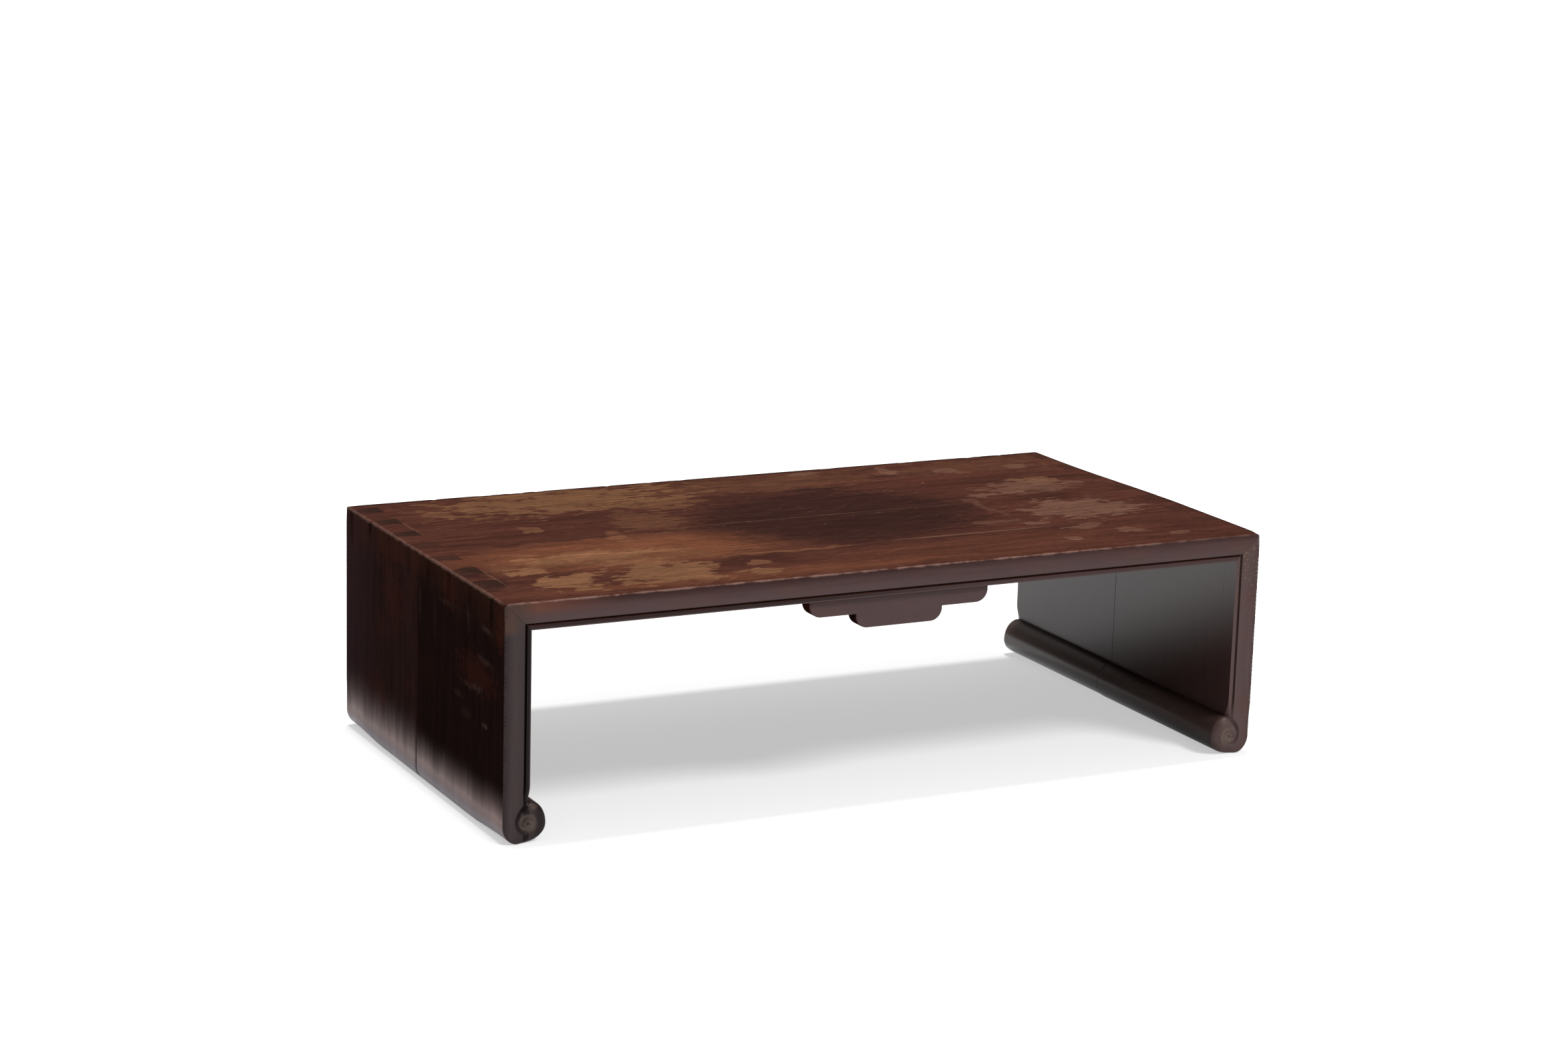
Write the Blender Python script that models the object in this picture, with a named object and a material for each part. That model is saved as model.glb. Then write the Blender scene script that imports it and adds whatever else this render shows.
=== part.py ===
"""Low display stand of dark hardwood, after the scroll stands of a scholar's desk.

A top of two edge-joined boards is dovetailed to two sides, which end below in inward scroll feet.
The front and back corners are mitred so that the bead along the inner edge runs round the frame.
Metres, +Z up; X runs along the stand, the front faces -Y, the origin is under its middle on the floor.
"""
import math

import bmesh
import bpy
from mathutils import Matrix

# Overall sizes
LENGTH = 0.400
DEPTH = 0.208
HEIGHT = 0.112
BOARD_T = 0.013        # one stock thickness for the top and the sides
REAR_BOARD = 0.0990    # width of the rear boards, from the back edge to the seam
CLEAR = 0.0003         # gap left wherever two pieces meet

# Scroll foot, seen from the end of a side
FOOT_RISE = 0.0125     # height at which the outer face starts to turn under
FOOT_TUCK = 0.0060     # how far the sole lies in from the outer face
FOOT_FLAT = 0.0022     # width of the sole
ROLL_OUT = 0.0076      # how far the roll stands in past the inner face
ROLL_MID = 0.0085      # height of the roll's fullest point
ROLL_TOP = 0.0194      # height at which the roll meets the inner face
EYE_SET = 0.0010       # how far the eye of the scroll lies outward of the inner face
EYE_R = 0.0024         # radius that the carved spiral closes on
SPIRAL_RATE = 0.6      # how fast it closes, per radian
SPIRAL_LEAD = 0.15     # radians that its cutter starts before the roll's edge
SPIRAL_TURNS = 1.05

# Edge bead and carved grooves
BEAD_W = 0.0026
GROOVE_R = 0.0007
GROOVE_LIFT = 0.0002   # the groove's centre line stands this far proud of the edge

# Corner dovetails: the top has the tails, the sides have the pins
MITRE = 0.0055         # width of the mitred shoulder at the front and the back
PIN_FIRST = 0.0138     # middle of the rearmost pin, from the back edge
PIN_PITCH = 0.0261
PIN_TIP = 0.0060       # pin width at the outer arris
PIN_ROOT = 0.0110      # pin width at the inner face

# Stepped pendants under the front and back edges
PENDANT_UPPER = 0.095  # length of the upper step
PENDANT_LOWER = 0.046  # length of the lower step
UPPER_DROP = 0.0080
LOWER_DROP = 0.0070
PENDANT_T = 0.008
PENDANT_SET = 0.003    # set back from the edge of the top
STEP_R = 0.0062        # round at the lower corners of each step

# Bamboo pins in the seams and pegs in the pendants
PIN_R = 0.0020
PIN_LEN = 0.026
TOP_PINS = 5
SIDE_PINS = 2
PEG_R = 0.0015
PEG_LEN = 0.011

# Fineness of curves
ARC_STEPS = 10
SPIRAL_STEPS = 34
ROD_SIDES = 16
OVER = 0.002           # how far a cutter runs past the face that it cuts

SEAM_Y = DEPTH / 2 - REAR_BOARD
UNDERSIDE = HEIGHT - BOARD_T
TOP_MITRE_RISE = CLEAR              # the top's mitre runs out on its upper face, not at the arris
SIDE_MITRE_RISE = TOP_MITRE_RISE - CLEAR * math.sqrt(2)   # CLEAR away, square to the mitre
LEFT, RIGHT = -1, 1
FRONT, REAR = -1, 1


def new_collection(name):
    """Adds a collection to the scene."""
    collection = bpy.data.collections.new(name)
    bpy.context.scene.collection.children.link(collection)
    return collection


def wood(name, colour, roughness):
    """Makes a plain Principled material."""
    material = bpy.data.materials.new(name)
    material.use_nodes = True
    shader = material.node_tree.nodes["Principled BSDF"]
    shader.inputs["Base Color"].default_value = (*colour, 1)
    shader.inputs["Roughness"].default_value = roughness
    shader.inputs["Metallic"].default_value = 0
    return material


def adopt(obj, collection, material=None):
    """Moves an object into its collection and gives it its material, or marks it as a cutter."""
    for old in list(obj.users_collection):
        old.objects.unlink(obj)
    collection.objects.link(obj)
    if material:
        obj.data.materials.append(material)
        obj.parent = stand
    else:
        obj.display_type = "WIRE"
        obj.hide_render = True
    return obj


def curve_to_mesh(curve_obj, name, collection, material=None, caps=()):
    """Turns a curve object into a closed mesh object in the same place, its flat caps as single faces."""
    bpy.context.view_layer.update()
    evaluated = curve_obj.evaluated_get(bpy.context.evaluated_depsgraph_get())
    mesh = bpy.data.meshes.new_from_object(evaluated)
    bm = bmesh.new()
    bm.from_mesh(mesh)
    bmesh.ops.remove_doubles(bm, verts=bm.verts, dist=1e-6)
    for cap in caps:
        filled = [f for f in bm.faces if all(abs(v.co.z - cap) < 1e-7 for v in f.verts)]
        bmesh.ops.dissolve_faces(bm, faces=filled)
    bmesh.ops.recalc_face_normals(bm, faces=bm.faces)
    bm.to_mesh(mesh)
    bm.free()
    mesh.materials.clear()
    obj = bpy.data.objects.new(name, mesh)
    obj.matrix_world = curve_obj.matrix_world.copy()
    bpy.data.objects.remove(curve_obj)
    return adopt(obj, collection, material)


def plate(name, outlines, low, high, upright, collection, material=None):
    """Extrudes flat outlines: upright ones lie in XZ and run along Y, others lie in XY and run along Z."""
    curve = bpy.data.curves.new(name + "_outline", "CURVE")
    curve.dimensions = "2D"
    curve.fill_mode = "BOTH"
    curve.extrude = (high - low) / 2
    for outline in outlines:
        spline = curve.splines.new("POLY")
        spline.points.add(len(outline) - 1)
        for point, (a, b) in zip(spline.points, outline):
            point.co = (a, b, 0, 1)
        spline.use_cyclic_u = True
    obj = bpy.data.objects.new(name + "_outline", curve)
    bpy.context.scene.collection.objects.link(obj)
    middle = (low + high) / 2
    if upright:
        obj.matrix_world = Matrix.Translation((0, middle, 0)) @ Matrix.Rotation(math.pi / 2, 4, "X")
    else:
        obj.matrix_world = Matrix.Translation((0, 0, middle))
    return curve_to_mesh(obj, name, collection, material, (-curve.extrude, curve.extrude))


def rod(name, radius, length, centre, axis, collection, material=None):
    """Adds a round rod along X, Y or Z."""
    turn = {"X": (0, math.pi / 2, 0), "Y": (math.pi / 2, 0, 0), "Z": (0, 0, 0)}[axis]
    bpy.ops.mesh.primitive_cylinder_add(
        vertices=ROD_SIDES, radius=radius, depth=length, location=centre, rotation=turn)
    obj = bpy.context.object
    obj.name = name
    obj.data.shade_smooth()
    obj.data.set_sharp_from_angle(angle=math.radians(40))
    return adopt(obj, collection, material)


def cut(piece, cutter):
    """Takes a cutter's shape out of a piece."""
    modifier = piece.modifiers.new(cutter.name, "BOOLEAN")
    modifier.operation = "DIFFERENCE"
    modifier.solver = "EXACT"
    modifier.object = cutter


def arc(centre, radii, start, end, steps=ARC_STEPS):
    """Points on an elliptical arc, angles in degrees."""
    points = []
    for i in range(steps + 1):
        angle = math.radians(start + (end - start) * i / steps)
        points.append((centre[0] + radii[0] * math.cos(angle), centre[1] + radii[1] * math.sin(angle)))
    return points


def from_outer(side, inward):
    """X of a point that lies a given distance inward of a side's outer face."""
    return side * (LENGTH / 2 - inward)


def side_outline(side):
    """Section of a side: plank above, scroll foot below."""
    roll_start = FOOT_TUCK + FOOT_FLAT
    points = [(0, HEIGHT)]
    points += arc((FOOT_TUCK, FOOT_RISE), (FOOT_TUCK, FOOT_RISE), 180, 270)
    points += arc((roll_start, ROLL_MID), (BOARD_T + ROLL_OUT - roll_start, ROLL_MID), 270, 360)
    points += arc((BOARD_T, ROLL_MID), (ROLL_OUT, ROLL_TOP - ROLL_MID), 0, 90)[1:]
    points.append((BOARD_T, HEIGHT))
    return [(from_outer(side, inward), z) for inward, z in points]


def spiral(side):
    """Centre line of the carved spiral, from just outside the roll's upper edge to the eye."""
    eye = (BOARD_T - EYE_SET, ROLL_MID)
    reach = math.dist(eye, (BOARD_T, ROLL_TOP))
    start = math.atan2(ROLL_TOP - eye[1], BOARD_T - eye[0])
    points = []
    for i in range(SPIRAL_STEPS + 1):
        turn = SPIRAL_TURNS * 2 * math.pi * i / SPIRAL_STEPS - SPIRAL_LEAD
        radius = EYE_R + (reach - EYE_R) * math.exp(-SPIRAL_RATE * turn)
        inward = eye[0] + radius * math.cos(start + turn)
        points.append((from_outer(side, inward), eye[1] + radius * math.sin(start + turn)))
    return points


def spiral_groove(name, side, face):
    """Cutter for the spiral on one end of a foot."""
    curve = bpy.data.curves.new(name + "_line", "CURVE")
    curve.dimensions = "3D"
    curve.bevel_depth = GROOVE_R
    curve.bevel_resolution = 1
    curve.use_fill_caps = True
    points = spiral(side)
    spline = curve.splines.new("POLY")
    spline.points.add(len(points) - 1)
    for point, (x, z) in zip(spline.points, points):
        point.co = (x, face * (DEPTH / 2 + GROOVE_LIFT), z, 1)
    obj = bpy.data.objects.new(name + "_line", curve)
    bpy.context.scene.collection.objects.link(obj)
    return curve_to_mesh(obj, name, cutters)


def side_bead_groove(name, side, face):
    """Cutter for the groove beside the bead, from the spiral up through the mitre."""
    line_x = from_outer(side, BOARD_T - BEAD_W)
    low = next(z for x, z in spiral(side) if abs(x) >= abs(line_x))
    high = HEIGHT + OVER
    centre = (line_x, face * (DEPTH / 2 + GROOVE_LIFT), (low + high) / 2)
    return rod(name, GROOVE_R, high - low, centre, "Z", cutters)


def top_bead_groove(name, face):
    """Cutter for the groove beside the bead along one edge of the top."""
    centre = (0, face * (DEPTH / 2 + GROOVE_LIFT), UNDERSIDE + BEAD_W)
    return rod(name, GROOVE_R, LENGTH + 2 * OVER, centre, "X", cutters)


def pin_places():
    """Y of the middle of each dovetail pin, back to front."""
    room = DEPTH - MITRE - PIN_FIRST - PIN_ROOT
    return [DEPTH / 2 - PIN_FIRST - i * PIN_PITCH for i in range(int(room / PIN_PITCH) + 1)]


def pin_half(inward):
    """Half the width of a pin at a distance inward of the outer face."""
    return (PIN_TIP + (PIN_ROOT - PIN_TIP) * inward / BOARD_T) / 2


def pin_sockets(side):
    """Cutter for the pin sockets in the top, wider than the pins by the clearance."""
    outlines = []
    for y in pin_places():
        outer, inner = -OVER, BOARD_T + CLEAR
        outlines.append([
            (from_outer(side, outer), y - pin_half(outer) - CLEAR),
            (from_outer(side, inner), y - pin_half(inner) - CLEAR),
            (from_outer(side, inner), y + pin_half(inner) + CLEAR),
            (from_outer(side, outer), y + pin_half(outer) + CLEAR),
        ])
    return plate(f"pin_sockets_{side}", outlines, UNDERSIDE - OVER, HEIGHT + OVER, False, cutters)


def tail_sockets(side):
    """Cutter for the tail sockets in a side, between the pins and out to the mitred shoulders."""
    shoulder = DEPTH / 2 - MITRE
    pins = pin_places()
    outer, inner = -OVER, BOARD_T + OVER
    outlines = []
    for rear, front in zip([None] + pins, pins + [None]):
        corners = []
        for inward in (outer, inner):
            high = shoulder if rear is None else rear - pin_half(inward)
            low = -shoulder if front is None else front + pin_half(inward)
            corners.append((from_outer(side, inward), low, high))
        (x0, low0, high0), (x1, low1, high1) = corners
        outlines.append([(x0, low0), (x1, low1), (x1, high1), (x0, high0)])
    return plate(f"tail_sockets_{side}", outlines, UNDERSIDE - CLEAR, HEIGHT + OVER, False, cutters)


def mitre_cut(side, face, of_top):
    """Cutter for one mitred shoulder, of the top or of a side."""
    if of_top:
        rise = TOP_MITRE_RISE
        corner = (from_outer(side, -OVER), UNDERSIDE - OVER)
    else:
        rise = SIDE_MITRE_RISE
        corner = (from_outer(side, BOARD_T + OVER), HEIGHT + OVER)
    outline = [
        (from_outer(side, -OVER), HEIGHT + OVER + rise),
        (from_outer(side, BOARD_T + OVER), UNDERSIDE - OVER + rise),
        corner,
    ]
    ends = sorted((face * (DEPTH / 2 + OVER), face * (DEPTH / 2 - MITRE - CLEAR)))
    name = f"{'top' if of_top else 'side'}_mitre_{side}_{face}"
    return plate(name, [outline], ends[0], ends[1], True, cutters)


def seam_ends(face):
    """Low and high Y of a front or rear board."""
    if face == FRONT:
        return -DEPTH / 2, SEAM_Y - CLEAR / 2
    return SEAM_Y + CLEAR / 2, DEPTH / 2


def pinned_seam(prefix, places, boards):
    """Bamboo pins across a seam, with their holes in both boards."""
    for i, (x, z) in enumerate(places, 1):
        centre = (x, SEAM_Y, z)
        hole = rod(f"{prefix}_hole_{i}", PIN_R + CLEAR, PIN_LEN + 2 * CLEAR, centre, "Y", cutters)
        for board in boards:
            cut(board, hole)
        rod(f"{prefix}_{i}", PIN_R, PIN_LEN, centre, "Y", parts, bamboo)


def make_top():
    """Both boards of the top, cut for the corner joints and pinned at the seam."""
    boards = {}
    half = LENGTH / 2
    outline = [(-half, UNDERSIDE), (half, UNDERSIDE), (half, HEIGHT), (-half, HEIGHT)]
    for face, name in ((FRONT, "top_front_board"), (REAR, "top_rear_board")):
        boards[face] = plate(name, [outline], *seam_ends(face), True, parts, top_wood)
    for side in (LEFT, RIGHT):
        sockets = pin_sockets(side)
        for face, board in boards.items():
            cut(board, sockets)
            cut(board, mitre_cut(side, face, True))
    for face, board in boards.items():
        cut(board, top_bead_groove(f"top_groove_{face}", face))
    span = LENGTH - 2 * BOARD_T
    places = [(span * ((i + 0.5) / TOP_PINS - 0.5), HEIGHT - BOARD_T / 2) for i in range(TOP_PINS)]
    pinned_seam("top_seam_pin", places, boards.values())
    return boards


def make_side(side, label):
    """Both boards of one side, with their scroll feet."""
    boards = {}
    sockets = tail_sockets(side)
    for face, name in ((FRONT, f"{label}_front_board"), (REAR, f"{label}_rear_board")):
        board = plate(name, [side_outline(side)], *seam_ends(face), True, parts, side_wood)
        cut(board, sockets)
        cut(board, mitre_cut(side, face, False))
        cut(board, side_bead_groove(f"{label}_groove_{face}", side, face))
        cut(board, spiral_groove(f"{label}_spiral_{face}", side, face))
        boards[face] = board
    rise = (UNDERSIDE - ROLL_TOP) / (SIDE_PINS + 1)
    places = [(from_outer(side, BOARD_T / 2), ROLL_TOP + rise * (i + 1)) for i in range(SIDE_PINS)]
    pinned_seam(f"{label}_seam_pin", places, boards.values())


def pendant_outline():
    """Two-step outline with rounded lower corners, hung under the top."""
    top = UNDERSIDE - CLEAR
    step = top - UPPER_DROP
    foot = step - LOWER_DROP
    right = [(PENDANT_UPPER / 2, top)]
    for half, low in ((PENDANT_UPPER / 2, step), (PENDANT_LOWER / 2, foot)):
        right += arc((half - STEP_R, low + STEP_R), (STEP_R, STEP_R), 0, -90)
        if low == step:
            right.append((PENDANT_LOWER / 2, step))
    return right + [(-x, z) for x, z in reversed(right)]


def make_pendant(face, label, board):
    """One pendant and the two pegs that hold it under its board of the top."""
    edge = face * (DEPTH / 2 - PENDANT_SET)
    back = face * (DEPTH / 2 - PENDANT_SET - PENDANT_T)
    low, high = sorted((edge, back))
    pendant = plate(f"{label}_pendant", [pendant_outline()], low, high, True, parts, side_wood)
    peg_x = (PENDANT_UPPER + PENDANT_LOWER) / 4
    for side, word in ((LEFT, "left"), (RIGHT, "right")):
        centre = (side * peg_x, (edge + back) / 2, UNDERSIDE - CLEAR / 2)
        hole = rod(f"{label}_peg_hole_{word}", PEG_R + CLEAR, PEG_LEN + 2 * CLEAR, centre, "Z", cutters)
        cut(board, hole)
        cut(pendant, hole)
        rod(f"{label}_peg_{word}", PEG_R, PEG_LEN, centre, "Z", parts, bamboo)


for leftover in list(bpy.data.objects):
    bpy.data.objects.remove(leftover)

parts = new_collection("scroll_display_stand")
cutters = new_collection("cutters")
stand = bpy.data.objects.new("stand", None)
parts.objects.link(stand)

top_wood = wood("waxed_rosewood_top", (0.115, 0.048, 0.030), 0.38)
side_wood = wood("waxed_rosewood_side", (0.036, 0.019, 0.014), 0.32)
bamboo = wood("bamboo", (0.420, 0.280, 0.120), 0.55)

top_boards = make_top()
make_side(LEFT, "left")
make_side(RIGHT, "right")
make_pendant(FRONT, "front", top_boards[FRONT])
make_pendant(REAR, "rear", top_boards[REAR])
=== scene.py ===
"""Looks of the low scroll-foot display stand: dovetailed and carved boards of worn, waxed hardwood.

Lengths in the size classes are metres, written as millimetres times MM.
Patterns in the finishes are in millimetres.
"""

import enum
import functools
import logging
import math
from collections.abc import Callable, Sequence
from dataclasses import dataclass, field

import bmesh
import bpy
import numpy as np
from mathutils import Matrix, Vector
from mathutils.geometry import delaunay_2d_cdt


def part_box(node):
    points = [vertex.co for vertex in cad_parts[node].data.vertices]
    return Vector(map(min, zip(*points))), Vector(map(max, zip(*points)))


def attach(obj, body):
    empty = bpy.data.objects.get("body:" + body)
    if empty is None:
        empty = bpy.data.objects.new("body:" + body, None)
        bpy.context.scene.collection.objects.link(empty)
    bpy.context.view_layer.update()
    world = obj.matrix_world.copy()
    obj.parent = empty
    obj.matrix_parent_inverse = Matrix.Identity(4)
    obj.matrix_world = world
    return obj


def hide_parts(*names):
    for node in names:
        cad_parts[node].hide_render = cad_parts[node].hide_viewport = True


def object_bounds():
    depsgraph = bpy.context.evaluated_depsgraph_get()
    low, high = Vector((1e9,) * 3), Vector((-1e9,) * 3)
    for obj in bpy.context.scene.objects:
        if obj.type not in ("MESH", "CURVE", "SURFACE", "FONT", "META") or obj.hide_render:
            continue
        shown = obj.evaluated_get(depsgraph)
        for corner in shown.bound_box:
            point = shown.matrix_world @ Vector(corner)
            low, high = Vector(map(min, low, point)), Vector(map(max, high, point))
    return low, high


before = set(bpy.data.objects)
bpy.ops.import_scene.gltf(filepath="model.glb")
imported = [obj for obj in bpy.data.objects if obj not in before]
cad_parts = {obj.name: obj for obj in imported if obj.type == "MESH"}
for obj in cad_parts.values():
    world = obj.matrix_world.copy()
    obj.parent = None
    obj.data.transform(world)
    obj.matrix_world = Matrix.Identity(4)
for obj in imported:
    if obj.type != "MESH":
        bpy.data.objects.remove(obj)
CAD_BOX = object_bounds()

MM = 0.001
LOG = logging.getLogger("stand")

# Faces that meet at a sharper angle keep a crisp edge
SHARP_ANGLE = math.radians(38)

# Socket numbers of the colour mix node, whose socket names repeat
MIX_FACTOR = 0
MIX_A = 6
MIX_B = 7
MIX_RESULT = 2

AddNode = Callable[..., bpy.types.NodeSocket]


class Axis(enum.IntEnum):
    """A direction of the frame, as its index in a vector."""

    X = 0
    Y = 1
    Z = 2


class Side(enum.IntEnum):
    """An end of the stand, as the sign of X."""

    LEFT = -1
    RIGHT = 1


class Face(enum.IntEnum):
    """The front or the back of the stand, as the sign of Y."""

    FRONT = -1
    REAR = 1


class Zone(enum.IntEnum):
    """A surface of a board, as its material index."""

    SHOW = 0
    INNER = 1
    EDGE = 2
    END_GRAIN = 3


def to_linear(code: str) -> tuple[float, float, float, float]:
    """Turns an sRGB hex code into linear colour.

    Args:
        code: Six hex digits after a hash sign.

    Returns:
        Linear red, green, blue and an alpha of 1.
    """
    parts = [int(code[i:i + 2], 16) / 255 for i in (1, 3, 5)]
    linear = [p / 12.92 if p <= 0.04045 else ((p + 0.055) / 1.055) ** 2.4 for p in parts]
    return (*linear, 1.0)


def add_node(
    tree: bpy.types.NodeTree,
    kind: str,
    inputs: dict | None = None,
    output: int | str = 0,
    **settings: object,
) -> bpy.types.NodeSocket:
    """Adds a node with its settings and links.

    Args:
        tree: Node tree that gets the node.
        kind: Blender's name of the node type.
        inputs: Sockets to link or values to set, by input name or number.
        output: Name or number of the output wanted.
        **settings: Properties of the node.

    Returns:
        The node's output socket.
    """
    node = tree.nodes.new(kind)
    for name, value in settings.items():
        setattr(node, name, value)
    for key, value in (inputs or {}).items():
        if isinstance(value, bpy.types.NodeSocket):
            tree.links.new(value, node.inputs[key])
        else:
            node.inputs[key].default_value = value
    return node.outputs[output] if node.outputs else node.inputs[0]


def smooth(value: np.ndarray, low: float, high: float) -> np.ndarray:
    """Rises from 0 at low to 1 at high with level ends.

    Args:
        value: Where to look it up.
        low: Value at which the rise starts.
        high: Value at which the rise ends.

    Returns:
        Numbers from 0 to 1.
    """
    part = np.clip((value - low) / (high - low), 0, 1)
    return part * part * (3 - 2 * part)


def distance_to(line: np.ndarray, points: np.ndarray) -> np.ndarray:
    """Measures how far points lie from a polyline.

    Args:
        line: Corners of the polyline, one row each.
        points: Points in the same plane, one row each.

    Returns:
        The distance of each point from the nearest place on the line.
    """
    nearest = np.full(len(points), np.inf)
    for start, end in zip(line[:-1], line[1:]):
        run = end - start
        part = np.clip((points - start) @ run / max(run @ run, 1e-18), 0, 1)
        gap = points - start - part[:, None] * run
        nearest = np.minimum(nearest, np.hypot(gap[:, 0], gap[:, 1]))
    return nearest


def inside(loop: np.ndarray, points: np.ndarray) -> np.ndarray:
    """Tells which points lie inside a closed loop.

    Args:
        loop: Corners of the loop, one row each.
        points: Points in the same plane, one row each.

    Returns:
        True for each point inside.
    """
    result = np.zeros(len(points), bool)
    for start, end in zip(loop, np.roll(loop, -1, axis=0)):
        crosses = (start[1] > points[:, 1]) != (end[1] > points[:, 1])
        rise = end[1] - start[1] if end[1] != start[1] else 1e-18
        at = start[0] + (points[:, 1] - start[1]) * (end[0] - start[0]) / rise
        result ^= crosses & (points[:, 0] < at)
    return result


def arc(centre: tuple, radii: tuple, start: float, end: float, count: int) -> list[tuple[float, float]]:
    """Lists points along an arc of an ellipse.

    Args:
        centre: Middle of the ellipse.
        radii: Half widths along the two axes.
        start: First angle in degrees.
        end: Last angle in degrees.
        count: Number of points, both ends among them.

    Returns:
        The points in order.
    """
    turns = np.radians(np.linspace(start, end, count))
    return [(centre[0] + radii[0] * math.cos(a), centre[1] + radii[1] * math.sin(a)) for a in turns]


def offset_loop(loop: np.ndarray, inset: float) -> np.ndarray:
    """Moves a loop that runs anticlockwise inwards.

    Args:
        loop: Corners of the loop, one row each.
        inset: Distance to move it.

    Returns:
        The moved corners.
    """
    run = np.roll(loop, -1, axis=0) - np.roll(loop, 1, axis=0)
    run /= np.maximum(np.hypot(run[:, 0], run[:, 1]), 1e-12)[:, None]
    return loop + inset * np.column_stack((-run[:, 1], run[:, 0]))


def closed(loop: np.ndarray) -> np.ndarray:
    """Repeats a loop's first corner at its end, which makes it a closed polyline."""
    return np.vstack((loop, loop[:1]))


def band(ring: Sequence[int], following: Sequence[int]) -> list[tuple[int, ...]]:
    """Joins two rings of as many corners with a band of four-sided faces.

    Args:
        ring: Corner numbers of the first ring.
        following: Corner numbers of the second ring.

    Returns:
        Corner numbers of each face.
    """
    return list(zip(ring, [*ring[1:], ring[0]], [*following[1:], following[0]], following))


def filled(
    outline: np.ndarray, extra: np.ndarray
) -> tuple[np.ndarray, list[tuple[int, ...]], list[int]]:
    """Fills an outline with triangles.

    Args:
        outline: Corners of the outline, one row each.
        extra: Points inside it that the triangles use, one row each.

    Returns:
        All points, the triangles, and the number of each corner of the outline among the points.
    """
    inner_faces, tolerance = 1, 1e-8
    count = len(outline)
    flat = [Vector(p) for p in np.vstack((outline, extra))]
    edges = [(i, (i + 1) % count) for i in range(count)]
    loop = [list(range(count))]
    found, _, triangles, origins, _, _ = delaunay_2d_cdt(flat, edges, loop, inner_faces, tolerance)
    ring = [0] * count
    for here, origin in enumerate(origins):
        for source in origin:
            if source < count:
                ring[source] = here
    return np.array([tuple(p) for p in found]), [tuple(t) for t in triangles], ring


def mesh_object(
    name: str, verts: Sequence, faces: Sequence, marks: dict[str, Sequence[float]] | None = None
) -> bpy.types.Object:
    """Makes a mesh object whose faces look outward.

    Args:
        name: Name of the object and its mesh.
        verts: Corner positions in metres.
        faces: Corner numbers of each face.
        marks: Numbers to keep with the corners for the finishes, by name.

    Returns:
        The object, linked to the scene.
    """
    mesh = bpy.data.meshes.new(name)
    mesh.from_pydata([tuple(map(float, v)) for v in verts], [], [tuple(map(int, f)) for f in faces])
    for mark, values in (marks or {}).items():
        attribute = mesh.attributes.new(mark, "FLOAT", "POINT")
        attribute.data.foreach_set("value", np.asarray(values, np.float32))
    shape = bmesh.new()
    shape.from_mesh(mesh)
    bmesh.ops.remove_doubles(shape, verts=shape.verts, dist=1e-6)
    bmesh.ops.dissolve_degenerate(shape, edges=shape.edges, dist=1e-7)
    bmesh.ops.recalc_face_normals(shape, faces=shape.faces)
    shape.to_mesh(mesh)
    shape.free()
    piece = bpy.data.objects.new(name, mesh)
    bpy.context.scene.collection.objects.link(piece)
    return piece


def prism(outline: Sequence, low: float, high: float, along: Axis) -> tuple[list, list]:
    """Extrudes a flat outline along Y or Z.

    Args:
        outline: Corners in the two axes other than along, in the order of the axes.
        low: Start of the extrusion.
        high: End of the extrusion.
        along: Direction of the extrusion.

    Returns:
        Corner positions and faces of the closed prism.
    """
    count = len(outline)
    verts = []
    for level in (low, high):
        for point in outline:
            place = list(point)
            place.insert(along, level)
            verts.append(place)
    faces = band(range(count), range(count, 2 * count))
    faces += [tuple(range(count)), tuple(range(count, 2 * count))]
    return verts, faces


def carve(piece: bpy.types.Object, solids: Sequence[tuple[list, list]]) -> None:
    """Cuts separate solids out of a piece.

    Args:
        piece: Object to cut.
        solids: Corner positions and faces of each solid; they don't touch one another.
    """
    verts, faces = [], []
    for corners, sides in solids:
        faces += [[i + len(verts) for i in side] for side in sides]
        verts += corners
    cutter = mesh_object("cutter", verts, faces)
    cut = piece.modifiers.new("cut", "BOOLEAN")
    cut.object = cutter
    cut.operation = "DIFFERENCE"
    cut.solver = "EXACT"
    graph = bpy.context.evaluated_depsgraph_get()
    result = bpy.data.meshes.new_from_object(piece.evaluated_get(graph))
    piece.modifiers.clear()
    old = piece.data
    piece.data = result
    bpy.data.meshes.remove(old)
    spent = cutter.data
    bpy.data.objects.remove(cutter)
    bpy.data.meshes.remove(spent)


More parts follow.
